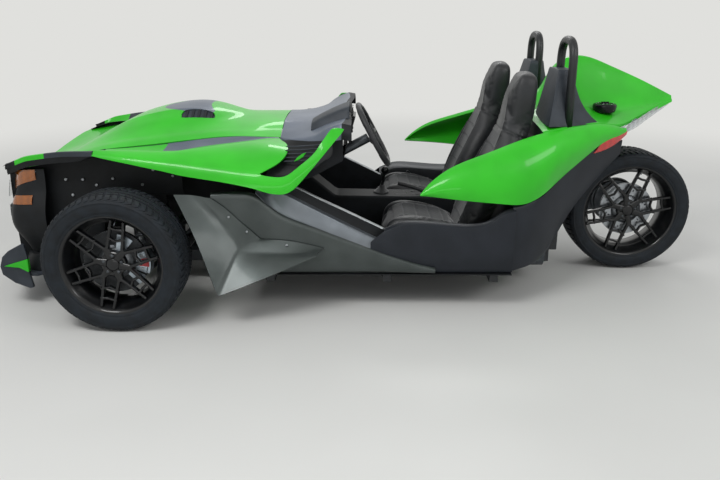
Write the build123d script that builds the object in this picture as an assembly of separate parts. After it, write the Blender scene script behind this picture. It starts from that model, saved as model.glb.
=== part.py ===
from build123d import *
from math import cos, sin, radians
import os

# A three-wheeled open roadster: two steered front wheels, one driven rear wheel on a one-sided
# swingarm, two bucket seats and a doorless cockpit under two roll hoops.
# Row frame: X forward, Y to the driver's left, Z up, origin on the floor below the middle of the
# whole vehicle. All sizes are millimetres.

# Driving sizes
wheelbase = 2667.0
front_overhang = 789.5    # from the front axle to the nose's tip
front_track = 1755.0
ground_clearance = 130.0
seat_gap = 0.4            # what two pieces that seat on each other leave between them
turn_gap = 0.3            # radial clearance of a pin or shaft in its bore
front_tyre_radius = 330.0
front_tyre_width = 225.0
rear_tyre_radius = 343.5
rear_tyre_width = 255.0
front_rim_radius = 229.0
rear_rim_radius = 254.0
overall_length = front_overhang + wheelbase + rear_tyre_radius
rear_axle_x = -overall_length / 2 + rear_tyre_radius
front_axle_x = rear_axle_x + wheelbase
wheel_y = front_track / 2
kingpin_y = wheel_y - 38.0

# Body stations. The panels' tables give X at these stations, read where the axles stand at 1110.5 and
# -1556.5. The nose and the tail keep their distance to their axle, and the cabin between them takes up the
# wheelbase.
front_axle_station = 1110.5
rear_axle_station = -1556.5
cabin_front_station = 590.0
cabin_rear_station = -700.0


def at(station):
    """The real X of a body station."""
    front_shift = front_axle_x - front_axle_station
    rear_shift = rear_axle_x - rear_axle_station
    share = (station - cabin_rear_station) / (cabin_front_station - cabin_rear_station)
    share = min(1.0, max(0.0, share))
    return station + rear_shift + share * (front_shift - rear_shift)


def stations(outline):
    """An outline of (station, z) corners as (x, z) corners."""
    return [(at(x), z) for x, z in outline]


# Small builders


def body_block(x0, x1, y0, y1, z0, z1):
    """A box between two corners, its ends given as body stations."""
    return block(at(x0), at(x1), y0, y1, z0, z1)


def block(x0, x1, y0, y1, z0, z1):
    """A box between two corners."""
    return Pos((x0 + x1) / 2, (y0 + y1) / 2, (z0 + z1) / 2) * Box(abs(x1 - x0), abs(y1 - y0), abs(z1 - z0))


def rod(start, end, radius):
    """A round bar from one point to another."""
    a, b = Vector(*start), Vector(*end)
    line = b - a
    place = Plane(origin=a, z_dir=line)
    return extrude(place * Circle(radius), line.length)


def drum(centre, axis, radius, length, bore=0.0):
    """A round disc or ring, centred on a point, with its axis along a direction."""
    place = Plane(origin=centre, z_dir=axis)
    made = extrude(place * Circle(radius), length / 2, both=True)
    if bore:
        made -= extrude(place * Circle(bore), length, both=True)
    return made


def skin(sections):
    """A straight-lined loft through closed outlines, each a list of (x, y, z) corners."""
    wires = [Wire.make_polygon([Vector(*p) for p in outline], close=True) for outline in sections]
    return Solid.make_loft(wires, ruled=True)


def side_plate(outline, y0, y1):
    """A plate seen from the side: an outline of (x, z) corners, given its width across Y."""
    corners = [(x, y0, z) for x, z in outline]
    face = Face(Wire.make_polygon([Vector(*p) for p in corners], close=True))
    return extrude(face, amount=abs(y1 - y0), dir=(0, 1 if y1 > y0 else -1, 0))


def other_side(shape):
    """The same piece on the right-hand side."""
    return mirror(shape, about=Plane.XZ)


def between(table, x, column):
    """A column of a station table at any x, on the straight line between its stations."""
    rows = sorted(table, key=lambda row: row[0])
    for low, high in zip(rows, rows[1:]):
        if low[0] <= x <= high[0]:
            share = (x - low[0]) / (high[0] - low[0])
            return low[column] + share * (high[column] - low[column])
    return (rows[0] if x < rows[0][0] else rows[-1])[column]


nodes = {}


def keep(name, *solids):
    """Keeps solids as one named node."""
    found = [s for shape in solids for s in shape.solids()]
    nodes[name] = found[0] if len(found) == 1 else Compound(found)


def keep_pair(name, *solids):
    """Keeps a left-hand piece and its mirror image as two nodes."""
    keep(name + "_left", *solids)
    keep(name + "_right", *[other_side(s) for s in solids])


def keep_both(name, *solids):
    """Keeps left-hand pieces and their mirror images as one node of separate solids."""
    keep(name, *solids, *[other_side(s) for s in solids])


def largest(shape):
    """The largest solid that a cut leaves."""
    return sorted(shape.solids(), key=lambda solid: solid.volume)[-1]


# Wheels: tyre, rim with spokes, and brake disc, made about the origin with the axle along Y

tyre_sides = 60           # flat faces round a tyre
tyre_shoulder = 24.0
tyre_wall_drop = 62.0     # from the tread down to the widest place of the sidewall
rim_wall = 9.0
rim_flange = 12.0
well_depth = 26.0
hub_radius = 62.0
cap_radius = 28.0
axle_pin_radius = 22.0

# The mesh of a wheel's face: spokes fork into arms, and struts and bridges tie the arms of neighbours
# together. Widths are in millimetres, shares are of the rim's radius, angles are in degrees from the spoke.
spoke_count = 6
spoke_thickness = 26.0
spoke_root_width, spoke_neck_width = 42.0, 31.0
arm_root_width, arm_tip_width = 21.0, 17.0
tie_width = 15.0
fork_share = 0.40
arm_angle = 21.5
strut_arm_share, strut_arm_angle = 0.60, 12.5
strut_foot_share = 0.50
bridge_share = 0.77
bridge_angle = 17.0
front_parked_angle = 12.0   # how far a spoke stands above the horizontal
rear_parked_angle = 18.4


def tyre(radius, width, rim_radius, rim_width):
    """A tyre of flat faces, outside and in its bore, whose flats lie on the rim's round seat."""
    half, seat = width / 2, rim_width / 2
    bead = (rim_radius + turn_gap) / cos(radians(180.0 / tyre_sides))
    right = [(bead - 6, seat - 17), (bead + 20, seat - 14), (radius - tyre_wall_drop, half),
             (radius - tyre_shoulder, half - 7), (radius - 3, half - tyre_shoulder),
             (radius, half - tyre_shoulder - 14)]
    left = [(r, -y) for r, y in reversed(right)]
    turns = [radians(360.0 / tyre_sides * i) for i in range(tyre_sides)]
    rings = [[(r * sin(a), y, -r * cos(a)) for a in turns] for r, y in right + left]
    bore = [[(bead * sin(a), y, -bead * cos(a)) for a in turns] for y in (width, -width)]
    return skin(rings) - skin(bore)


def face_bar(start, end, start_width, end_width):
    """A tapering bar in a wheel's face, between two (radius, degrees) places."""
    a, b = [Vector(r * cos(radians(turn)), r * sin(radians(turn))) for r, turn in (start, end)]
    along = (b - a).normalized()
    across = Vector(-along.Y, along.X)
    corners = [a - across * (start_width / 2), b - across * (end_width / 2),
               b + across * (end_width / 2), a + across * (start_width / 2)]
    return make_face(Polyline(*[(c.X, c.Y) for c in corners], close=True))


def spoke_mesh(rim_radius, reach, parked_angle):
    """The flat pattern of one wheel's face."""
    fork = fork_share * rim_radius
    strut_arm = strut_arm_share * rim_radius
    strut_foot = strut_foot_share * rim_radius
    bridge = bridge_share * rim_radius
    half_step = 180.0 / spoke_count
    bars = []
    for i in range(spoke_count):
        turn = i * 2 * half_step - parked_angle
        bars.append(face_bar((hub_radius - 22, turn), (fork + 6, turn), spoke_root_width, spoke_neck_width))
        for way in (-1, 1):
            middle = turn + way * half_step
            bars.append(face_bar((fork - 8, turn + way * 2), (reach, turn + way * arm_angle),
                                 arm_root_width, arm_tip_width))
            bars.append(face_bar((strut_arm, turn + way * strut_arm_angle), (strut_foot, middle),
                                 tie_width, tie_width))
            bars.append(face_bar((bridge, turn + way * bridge_angle), (bridge - 6, middle + way),
                                 tie_width, tie_width))
    return Sketch() + bars


def rim(rim_radius, rim_width, outer_face, parked_angle):
    seat = rim_width / 2
    flange = rim_radius + rim_flange
    well = rim_radius - well_depth
    inner = well - rim_wall
    barrel = Polyline(
        (flange, seat), (flange, seat - 8), (rim_radius, seat - 15), (rim_radius, 40), (well, 18),
        (well, -18), (rim_radius, -40), (rim_radius, 15 - seat), (flange, 8 - seat), (flange, -seat),
        (rim_radius - rim_wall, -seat), (inner, -30), (inner, 30), (rim_radius - rim_wall, seat - 4),
        close=True)
    made = revolve(make_face(barrel), Axis.Y)
    face_plane = Plane(origin=(0, outer_face, 0), x_dir=(1, 0, 0), z_dir=(0, 1, 0))
    mesh = spoke_mesh(rim_radius, rim_radius - rim_wall / 2, parked_angle)
    star = extrude(face_plane * mesh, -spoke_thickness)
    hub = drum((0, outer_face - 22, 0), (0, 1, 0), hub_radius, 44)
    cap = drum((0, outer_face + 2, 0), (0, 1, 0), cap_radius, 8)
    return made + star + hub + cap


def wheel_at(shape, x, y, z, outward):
    turned = shape if outward > 0 else mirror(shape, about=Plane.XZ)
    return Pos(x, y, z) * turned


front_rim_width = 200.0
rear_rim_width = 228.0
front_tyre = tyre(front_tyre_radius, front_tyre_width, front_rim_radius, front_rim_width)
rear_tyre = tyre(rear_tyre_radius, rear_tyre_width, rear_rim_radius, rear_rim_width)
front_face = 92.0          # the spokes' outer face, outboard of the wheel's middle
rear_face = 100.0
hub_inner = -4.0           # the hub's inner end, where the knuckle's flange begins
disc_radius = 150.0
disc_thickness = 22.0
disc_inner = 8.0


def disc_and_hub(outer_face, hub_start):
    """The brake disc on its hub, with a running bore for the stub axle."""
    hub_end = outer_face - 44
    middle = (hub_start + hub_end) / 2
    hub = drum((0, middle, 0), (0, 1, 0), 40, hub_end - hub_start)
    disc = drum((0, disc_inner + disc_thickness / 2, 0), (0, 1, 0), disc_radius, disc_thickness)
    bore = drum((0, middle, 0), (0, 1, 0), axle_pin_radius + turn_gap, hub_end - hub_start + 20)
    return hub + disc - bore


front_rim = rim(front_rim_radius, front_rim_width, front_face, front_parked_angle)
rear_rim = rim(rear_rim_radius, rear_rim_width, rear_face, rear_parked_angle)
front_disc = disc_and_hub(front_face, hub_inner)

for side, sign in (("left", 1), ("right", -1)):
    spot = (front_axle_x, sign * wheel_y, front_tyre_radius, sign)
    keep("tyre_front_" + side, wheel_at(front_tyre, *spot))
    keep("rim_front_" + side, wheel_at(front_rim, *spot))
    keep("brake_disc_front_" + side, wheel_at(front_disc, *spot))

# Front knuckles: a kingpin post, a stub axle, a steering arm and the brake caliper

post_radius = 24.0
post_low = 196.0
post_high = 464.0
steer_arm_back = 120.0
steer_arm_in = 12.0
steer_arm_top = 288.0
caliper_out = 166.0
caliper_in = 96.0
caliper_half_height = 62.0


def knuckle_left():
    axle_z = front_tyre_radius
    post = rod((front_axle_x, kingpin_y, post_low), (front_axle_x, kingpin_y, post_high), post_radius)
    flange_y = wheel_y + hub_inner - 2
    flange = drum((front_axle_x, flange_y - 10, axle_z), (0, 1, 0), 44, 20)
    pin_end = wheel_y + front_face - 46
    stub = rod((front_axle_x, kingpin_y, axle_z), (front_axle_x, pin_end, axle_z), axle_pin_radius)
    eye = Vector(front_axle_x - steer_arm_back, kingpin_y - steer_arm_in, steer_arm_top - 8)
    arm = block(front_axle_x - steer_arm_back, front_axle_x, kingpin_y - steer_arm_in - 10, kingpin_y + 4,
                steer_arm_top - 16, steer_arm_top)
    boss = drum(eye, (0, 0, 1), 17, 16)
    bracket = block(front_axle_x - caliper_in - 6, front_axle_x, wheel_y - 42, wheel_y - 18,
                    axle_z + 4, axle_z + 48)
    return post + flange + stub + arm + boss + bracket


def caliper_left():
    x = front_axle_x
    body = block(x - caliper_out, x - caliper_in, wheel_y - 17.6, wheel_y + 44,
                 front_tyre_radius - caliper_half_height, front_tyre_radius + caliper_half_height)
    slot = block(x - disc_radius - 8, x, wheel_y + disc_inner - 5, wheel_y + disc_inner + disc_thickness + 5,
                 front_tyre_radius - 100, front_tyre_radius + 100)
    return body - slot


keep_pair("knuckle", knuckle_left())
keep_pair("brake_caliper_front", caliper_left())

# Frame: two floor rails, cross members, and a tower for each front suspension

rail_y = 330.0
rail_half_width = 25.0
rail_top = ground_clearance + 60.0
rail_front_x = at(1560.0)
rail_rear_x = at(-1040.0)
tower_half_length = 96.0
tower_rear_x = front_axle_x - tower_half_length
tower_front_x = front_axle_x + tower_half_length
tower_top = 640.0

eye_radius = 11.0
eye_thickness = 10.0
eye_plate = block(rail_front_x - 8, rail_front_x + 40,
                  rail_y - eye_thickness / 2, rail_y + eye_thickness / 2, 116, 156)
eye_plate -= drum((rail_front_x + 18, rail_y, 136), (0, 1, 0), eye_radius, 30)
keep_both("frame_rails", block(rail_rear_x, rail_front_x, rail_y - rail_half_width, rail_y + rail_half_width,
                               ground_clearance, rail_top) + eye_plate)

cross_x = [at(x) for x in (1500, 900, 660, -160, -700, -1010)] + [front_axle_x - steer_arm_back]
outrigger_x = [at(x) for x in (430, -160, -700)]
inner_y = rail_y - rail_half_width
outer_y = rail_y + rail_half_width
sill_inner_y = 590.0
sill_outer_y = 720.0
cross_half = 22.0
outrigger_end_y = 660.0
crosses = [block(x - cross_half, x + cross_half, -inner_y, inner_y, ground_clearance, rail_top)
           for x in cross_x]
arms = [block(x - cross_half, x + cross_half, outer_y, outrigger_end_y, ground_clearance, rail_top)
        for x in outrigger_x]


def tower_left():
    body = block(tower_rear_x, tower_front_x, inner_y, outer_y, rail_top, tower_top)
    middle = (tower_rear_x + tower_front_x) / 2
    for z, radius in ((560, 42), (320, 55)):
        body -= drum((middle, rail_y, z), (0, 1, 0), radius, 80)
    return body


keep_both("suspension_towers", tower_left())

# Front suspension: two wishbones and a coil-over on each side

bush_radius = 20.0
bush_y = outer_y + bush_radius + seat_gap
arm_spread = 74.0


def wishbone_left(pivot_z, ball_z, ball_height, tube, ball_radius):
    ball = Vector(front_axle_x, kingpin_y, ball_z)
    tube_end_y = kingpin_y - ball_radius + 4
    made = drum(ball, (0, 0, 1), ball_radius, ball_height)
    for way in (-1, 1):
        x = front_axle_x + way * arm_spread
        made += drum((x, bush_y, pivot_z), (1, 0, 0), bush_radius, 40)
        made += rod((x, bush_y, pivot_z), (front_axle_x + way * 12, tube_end_y, ball_z), tube)
    return made


low_ball_z = post_low - turn_gap - 14
high_ball_z = post_high + turn_gap + 12
low_pivot_z = rail_top - 30
high_pivot_z = 430.0
lower_arm = wishbone_left(low_pivot_z, low_ball_z, 28, 13, 30)
shock_y = 560.0
shock_low_z = 198.0
lower_arm += block(front_axle_x - 34, front_axle_x + 34, shock_y - 16, shock_y + 16, 160, shock_low_z)
keep_both("lower_wishbones", lower_arm)
keep_both("upper_wishbones", wishbone_left(high_pivot_z, high_ball_z, 24, 10, 34))


def coil_over(low, high, spring_radius=34.0, coils=7):
    """A damper with its coil spring as a stack of turns, from its lower eye to its upper seat."""
    a, b = Vector(*low), Vector(*high)
    axis = (b - a).normalized()
    length = (b - a).length
    made = rod(a, b, 12) + rod(a, a + axis * (0.52 * length), 20)
    for share, radius in ((0.30, spring_radius + 3), (0.93, spring_radius + 3)):
        made += drum(a + axis * (share * length), axis, radius, 8)
    pitch = 0.60 * length / coils
    for i in range(coils):
        centre = a + axis * (0.32 * length + pitch * (i + 0.5))
        made += drum(centre, axis, spring_radius, pitch * 0.55)
    return made


shock_top = (front_axle_x, outer_y + 46, 600)
front_shock = coil_over((front_axle_x, shock_y, shock_low_z + seat_gap + 8), shock_top)
front_shock += drum((front_axle_x, shock_y, shock_low_z + seat_gap + 8), (1, 0, 0), 8, 50)
front_shock += drum(shock_top, (0, 1, 0), 15, 2 * 46 - 2 * seat_gap)
front_shock -= block(front_axle_x - 60, front_axle_x + 60, 0, outer_y + seat_gap, 500, 700)

# Steering: wheel, column, rack and tie rods

steer_y = 340.0
steer_centre = Vector(at(-92.0), steer_y, 824.0)
steer_tilt = 28.0
steer_axis = Vector(-cos(radians(steer_tilt)), 0, sin(radians(steer_tilt)))
steer_rim_radius = 170.0
steer_grip = 15.0
wheel_plane = Plane(origin=steer_centre, x_dir=(0, 1, 0), z_dir=steer_axis)
steer_ring = wheel_plane * Torus(steer_rim_radius, steer_grip)
steer_hub = drum(steer_centre - steer_axis * 12, steer_axis, 48, 40)
steer_spokes = [
    wheel_plane * Rot(0, 0, a) * Pos(steer_rim_radius / 2 + 10, 0, -8) * Box(steer_rim_radius - 30, 36, 12)
    for a in (0, 180, 270)]
for spoke in steer_spokes:
    steer_hub += spoke
keep("steering_wheel", steer_ring + steer_hub)
column_start = steer_centre - steer_axis * (32 + seat_gap)
column_step = steer_centre - steer_axis * 560
column_end = steer_centre - steer_axis * 1150
column = rod(column_start, column_step, 24) + rod(column_step, column_end, 11)

rack_x = front_axle_x - steer_arm_back
rack_z = steer_arm_top + turn_gap + 12
rack_radius = 12.0
rack_end_y = 420.0
housing = drum((rack_x, 0, rack_z), (0, 1, 0), 28, 2 * inner_y - 2)
for way in (-1, 1):
    housing += block(rack_x - 18, rack_x + 18, way * 180, way * 220, rail_top, rack_z)
housing -= drum((rack_x, 0, rack_z), (0, 1, 0), rack_radius + turn_gap, 2 * inner_y + 40)
keep("rack_housing", housing)
rack = drum((rack_x, 0, rack_z), (0, 1, 0), rack_radius, 2 * rack_end_y)
rod_end = Vector(rack_x, kingpin_y - steer_arm_in, rack_z)
tie_rod = rod((rack_x, rack_end_y, rack_z), (rack_x, rod_end.Y, rack_z), 8)
tie_rod += drum((rack_x, rack_end_y + 20, rack_z), (0, 1, 0), 15, 44)
tie_rod += drum(rod_end, (0, 0, 1), 15, 24)
keep("steering_rack", rack + tie_rod + other_side(tie_rod))
keep("steering_column", column - drum((rack_x, 0, rack_z), (0, 1, 0), 28 + seat_gap, 900))

# Front bodywork, one table of stations for each panel.
# Hood columns: x, spine z, shoulder y and z, flank y and z, edge y and z
hood_lines = (
    (1900, 572, 250, 600, 430, 640, 620, 700),
    (1590, 675, 220, 682, 400, 702, 590, 724),
    (1250, 876, 200, 872, 350, 822, 505, 781),
    (1100, 922, 200, 913, 328, 843, 471, 789),
    (1010, 943, 190, 931, 312, 857, 450, 795),
    (840, 960, 170, 944, 291, 866, 431, 813),
    (600, 887, 146, 878, 260, 861, 414, 840),
    (385, 884, 138, 877, 248, 857, 400, 838),
)
# Wing columns: x, how far the channel beside the hood sinks, lip y and z, crown y and z, crease y and z,
# hem y and z
wing_lines = (
    (1250, 22, 655, 803, 671, 805, 690, 796, 700, 784),
    (1100, 42, 635, 796, 666, 802, 715, 785, 731, 759),
    (1010, 40, 621, 790, 661, 801, 728, 776, 746, 742),
    (840, 20, 590, 779, 647, 806, 750, 762, 771, 711),
    (600, 7, 480, 811, 597, 819, 770, 735, 793, 677),
    (385, 4, 432, 820, 590, 823, 784, 702, 800, 631),
)
panel = 8.0


def hood_section(row, below=panel, above=0.0):
    """One station of the hood, as thick as below and above its outer line say."""
    x, spine, mid_y, mid_z, flank_y, flank_z, edge_y, edge_z = at(row[0]), *row[1:8]
    half = [(edge_y, edge_z), (flank_y, flank_z), (mid_y, mid_z), (0, spine)]
    line = half + [(-y, z) for y, z in reversed(half[:-1])]
    return [(x, y, z + above) for y, z in line] + [(x, y, z - below) for y, z in reversed(line)]


# The nose in plan: half-breadth points of the front edge as (x, y)
nose_plan = ((1868, 0), (1846, 250), (1768, 500), (1690, 612), (1660, 640))


def plan_block(points, z0, z1, inset=0.0):
    """A block between two heights whose plan is the nose curve, open ended to the rear."""
    right = [(at(x) - inset, y - inset if y > 300 else y) for x, y in points]
    left = [(x, -y) for x, y in reversed(right[1:])]
    back = at(200.0)
    ring = [(back, -right[-1][1])] + left + right + [(back, right[-1][1])]
    face = Face(Wire.make_polygon([Vector(x, y, z0) for x, y in ring], close=True))
    return extrude(face, amount=z1 - z0, dir=(0, 0, 1))


hood = skin([hood_section(row) for row in hood_lines]) & plan_block(nose_plan, 400, 1100)
above_hood = skin([hood_section(row, panel + seat_gap, 400) for row in hood_lines])
vent_y0, vent_y1 = 190.0, 238.0
vent_front_x, vent_rear_x = 925.0, 755.0
vent_sink = 5.0           # how deep the vent's tray lies under the hood's face
for way in (-1, 1):
    hood -= body_block(vent_rear_x, vent_front_x, way * vent_y0, way * vent_y1, 840, 1020)
keep("hood", hood)


def vent_left():
    """A tray sunk in the hood's slot, with louvre bars across it."""
    y0, y1 = vent_y0 + seat_gap, vent_y1 - seat_gap
    front, rear = vent_front_x - seat_gap, vent_rear_x + seat_gap
    tray = skin([hood_section(row, panel + 2, -vent_sink) for row in hood_lines])
    tray &= body_block(rear, front, y0, y1, 840, 1020)
    bars = skin([hood_section(row, panel + 2, -1) for row in hood_lines])
    for i in range(5):
        x = rear + 14 + i * 32
        tray += bars & body_block(x, x + 13, y0, y1, 840, 1020)
    return tray


keep_both("hood_vents", vent_left())


def fender_section(row):
    x, lip_y, lip_z, crown_y, crown_z, crease_y, crease_z, hem_y, hem_z = at(row[0]), *row[2:10]
    outer = [(lip_y + seat_gap, lip_z), (crown_y, crown_z), (crease_y, crease_z), (hem_y, hem_z)]
    inner = [(hem_y - panel, hem_z), (crease_y - panel, crease_z - panel), (crown_y, crown_z - panel),
             (lip_y + seat_gap, lip_z - panel)]
    return [(x, y, z) for y, z in outer + inner]


hook_tilt = 11.0
hook_outline = ((470, 646), (343, 623), (314, 627), (291, 642), (189, 749), (53, 912), (71, 930), (108, 916),
                (163, 855), (191, 810), (299, 716), (326, 700), (355, 697), (470, 716))
hook_thickness = 12.0
hook_base_y = 797.0
hook_base_z = 630.0


def fender_left():
    shell = skin([fender_section(row) for row in wing_lines])
    lobe_cut = [(300, 600), (300, 900), (372, 900), (350, 806), (356, 786), (384, 760), (448, 716),
                (448, 600)]
    shell -= side_plate(stations(lobe_cut), 360, 900)
    hook = side_plate(stations(hook_outline), hook_base_y - hook_thickness, hook_base_y)
    hook = hook.rotate(Axis((0, hook_base_y, hook_base_z), (1, 0, 0)), hook_tilt)
    return shell + hook


keep_both("fenders", fender_left())


def accent_section(row):
    """One station of the channel, sunk between the hood's edge and the wing's lip."""
    station, drop, lip_y, lip_z = row[:4]
    edge_y = between(hood_lines, station, 6)
    edge_z = between(hood_lines, station, 7)
    low = (edge_z + lip_z) / 2 - drop
    near_y, far_y = [edge_y + share * (lip_y - edge_y) for share in (0.3, 0.65)]
    top = [(edge_y + seat_gap, edge_z), (near_y, low), (far_y, low), (lip_y, lip_z)]
    return [(at(station), y, z) for y, z in top] + [(at(station), y, z - panel) for y, z in reversed(top)]


accent = skin([accent_section(row) for row in wing_lines])

# The brow joins the hood's edge to the outer corner above the lamps. Columns: x, outer y and z
brow_lines = ((1250 + seat_gap, 700, 784), (1400, 682, 771), (1590, 645, 735), (1700, 622, 722))
brow_depth = 26.0


def brow_section(row):
    x, outer_edge_y, outer_edge_z = row
    edge_y = between(hood_lines, x, 6) + seat_gap
    edge_z = between(hood_lines, x, 7)
    outer = [(outer_edge_y, outer_edge_z), (outer_edge_y, outer_edge_z - brow_depth)]
    ring = [(edge_y, edge_z)] + outer + [(edge_y, edge_z - brow_depth)]
    return [(at(x), y, z) for y, z in ring]


brow = skin([brow_section(row) for row in brow_lines]) & plan_block(nose_plan, 400, 1100)
keep_both("accents", accent, brow)

# Front fascia: a shell round the nose with a grille opening and lamp recesses

fascia_wall = 16.0
fascia_rear_x = 1520.0
fascia_low = 268.0
fascia = plan_block(nose_plan, fascia_low, 760) - plan_block(nose_plan, 200, 800, fascia_wall)
fascia -= body_block(0, fascia_rear_x, -900, 900, 0, 900)
fascia -= above_hood
for way in (-1, 1):
    fascia -= body_block(fascia_rear_x - 10, 1800, way * 560, way * 700, 700 - brow_depth - 16, 900)
grille_half_width = 330.0
grille_low, grille_high = 300.0, 520.0
fascia -= body_block(1700, 1950, -grille_half_width, grille_half_width, grille_low, grille_high)
lamp_tables = (("upper", 548.0, 628.0, 380.0, 598.0), ("lower", 440.0, 500.0, 400.0, 560.0))
for name, z0, z1, y0, y1 in lamp_tables:
    for way in (-1, 1):
        fascia -= body_block(1600, 1950, way * y0, way * y1, z0, z1)
keep("front_fascia", largest(fascia))

grille = plan_block(nose_plan, grille_low + seat_gap, grille_high - seat_gap, 6)
grille -= plan_block(nose_plan, 200, 800, 12)
grille &= body_block(1600, 1950, -grille_half_width + seat_gap, grille_half_width - seat_gap, 200, 800)
for i in range(6):
    z = grille_low + 12 + i * 35
    grille -= body_block(1700, 1950, -300, -12, z, z + 24)
    grille -= body_block(1700, 1950, 12, 300, z, z + 24)
keep("grille", grille)

lamps = []
for name, z0, z1, y0, y1 in lamp_tables:
    lamp = plan_block(nose_plan, z0 + seat_gap, z1 - seat_gap, 3)
    lamp -= plan_block(nose_plan, 200, 800, fascia_wall + 14)
    lamp &= body_block(1500, 1950, y0 + seat_gap, y1 - seat_gap, 200, 800)
    lamps.append(lamp)
# Side markers stand on the fascia's corner. Columns: rear x, low z, high z
marker_depth = 14.0
marker_y = 598.0
for rear_x, z0, z1 in ((1545, 604.0, 690.0), (1618, 512.0, 550.0)):
    marker = plan_block(nose_plan, z0, z1, -marker_depth) - plan_block(nose_plan, 200, 800, -seat_gap)
    lamps.append(marker & body_block(rear_x, 1950, marker_y, 900, 200, 800))
keep_both("headlamps", *lamps)

splitter_low = 92.0
splitter_plan = ((1900, 0), (1893, 250), (1838, 500), (1770, 640), (1650, 690))


def splitter_shape():
    right = [(at(x), y) for x, y in splitter_plan]
    left = [(x, -y) for x, y in reversed(right[1:])]
    ring = [(at(1560), -690)] + left + right + [(at(1560), 690)]
    face = Face(Wire.make_polygon([Vector(x, y, 160) for x, y in ring], close=True))
    blade = extrude(face, amount=18, dir=(0, 0, 1))
    lip = plan_block(nose_plan, 160, fascia_low - seat_gap) - plan_block(nose_plan, 100, 800, 30)
    blade += lip - body_block(0, 1600, -900, 900, 0, 900)
    fin_outline = [(1788, 214), (1762, 274), (1710, 312), (1650, 322), (1640, 262), (1642, 182),
                   (1630, splitter_low), (1722, 122), (1778, 168)]
    fin = side_plate(stations(fin_outline), 672, 684)
    blade += body_block(1600, 1760, 640, 675, 160, 178)
    return blade + fin + other_side(fin) + body_block(1600, 1760, -675, -640, 160, 178)


keep("splitter", splitter_shape())

# Radiator and engine under the hood

keep("radiator", body_block(1500, 1540, -300, 300, rail_top, 540))
keep("engine", body_block(700, 950, -200, 200, rail_top + 130, 740) + body_block(
    640, 950, -150, 150, rail_top + seat_gap, 700))

# Inner fenders, firewall, floor and cockpit walls

floor_top = rail_top + 6.0
firewall_x = at(600.0)
floor_rear_x = at(-778.0)
liner_front = block(tower_front_x, at(1500), outer_y - 8, outer_y, 480, 740)
liner_rear = block(firewall_x + 20, tower_rear_x, outer_y - 8, outer_y, 480, 740)
keep_both("inner_fenders", liner_front - above_hood, liner_rear - above_hood)
firewall = block(firewall_x, firewall_x + 20, -sill_inner_y, sill_inner_y, floor_top, 700)
firewall += block(firewall_x, firewall_x + 20, -300, 300, 700, 1000)
firewall -= above_hood
firewall -= rod(column_step, column_end, 11 + seat_gap)
keep("firewall", largest(firewall))

step_line = ((340, 592), (267, 550), (-49, 387), (-60, 345))
wall_rise = 48.0


def sill_left():
    """The cockpit's side wall with the step plate that runs down to the entry."""
    base = [(x, z) for x, z in step_line] + [(-60, floor_top), (560, floor_top), (560, 600)]
    outer_part = side_plate(stations(base), sill_inner_y, 664)
    lip = [(300, 610), (273, 608), (66, 504), (-149, 396), (-149, floor_top), (560, floor_top), (560, 610)]
    return outer_part + side_plate(stations(lip), sill_inner_y - 14, sill_inner_y)


keep_both("sills", sill_left())

spear_line = ((475, 613), (393, 519), (315, 481), (55, 380), (-147, 301), (-293, 253), (-396, 229),
              (-404, 197))
flare_wall = 7.0
flare_seam_y = 742.0
panel_y0 = 664.0 + seat_gap
panel_y1 = flare_seam_y - flare_wall - seat_gap
side_outline = list(spear_line) + [(480, 197), (620, 230), (690, 430), (670, 600)]
keep_both("side_panels", side_plate(stations(side_outline), panel_y0, panel_y1))

rear_sill_outline = [(-150 - seat_gap, 425), (-229, 466), (-580, 441), (-666, 466), (-716, 512), (-776, 526),
                     (-776, floor_top), (-150 - seat_gap, floor_top)]
rear_sill_outer = [(-61, 378), (-229, 466), (-580, 441), (-666, 466), (-716, 512), (-776, 526),
                   (-776, floor_top), (-404 - seat_gap, floor_top), (-396 - seat_gap, 229 + seat_gap),
                   (-293, 253 + seat_gap * 2), (-147, 301 + seat_gap * 2), (-61, 335)]
rear_sill = side_plate(stations(rear_sill_outline), sill_inner_y - 14, 664)
rear_sill += side_plate(stations(rear_sill_outer), 662, 716)
keep_both("rear_sills", rear_sill)

# Flare behind each front wheel. Columns: outer edge x, y, z; seam x and z; crease share and crease y
flare_lines = (
    ((828, 802, 617), (690, 600), 0.55, 752),
    ((716, 872, 430), (560, 505), 0.60, 757),
    ((630, 940, 166), (458, 382), 0.62, 785),
    ((397, 900, 255), (304, 378), 0.45, 782),
    ((185, 806, 318), (149, 334), 0.50, 775),
)


def flare_section(row):
    edge, seam_place, share, crease_y = row
    seam = (seam_place[0], flare_seam_y, seam_place[1])
    crease = (edge[0] + share * (seam[0] - edge[0]), crease_y, edge[2] + share * (seam[2] - edge[2]))
    outer = [edge, crease, seam]
    ring = outer + [(x, y - flare_wall, z) for x, y, z in reversed(outer)]
    return [(at(x), y, z) for x, y, z in ring]


keep_both("flares", skin([flare_section(row) for row in flare_lines]))

# Cowl, dashboard and gauge hood. Columns: x, then y and z of four points from the middle out
cowl_lines = (
    (385 - seat_gap, 0, 884, 138, 877, 248, 857, 432, 834),
    (215, 0, 900, 200, 900, 420, 885, 620, 862),
    (30, 0, 935, 200, 945, 450, 940, 672, 925),
)


def cowl_top(row):
    half = [(row[i], row[i + 1]) for i in (7, 5, 3, 1)]
    return half + [(-y, z) for y, z in reversed(half[:-1])]


def cowl_section(row, below=panel, above=0.0):
    top = cowl_top(row)
    x = at(row[0])
    return [(x, y, z + above) for y, z in top] + [(x, y, z - below) for y, z in reversed(top)]


def under_cowl_section(row):
    top = cowl_top(row)
    ends = [(-top[0][0], 400), (top[0][0], 400)]
    return [(at(row[0]), y, z - panel - seat_gap) for y, z in top] + [(at(row[0]), y, z) for y, z in ends]


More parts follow.
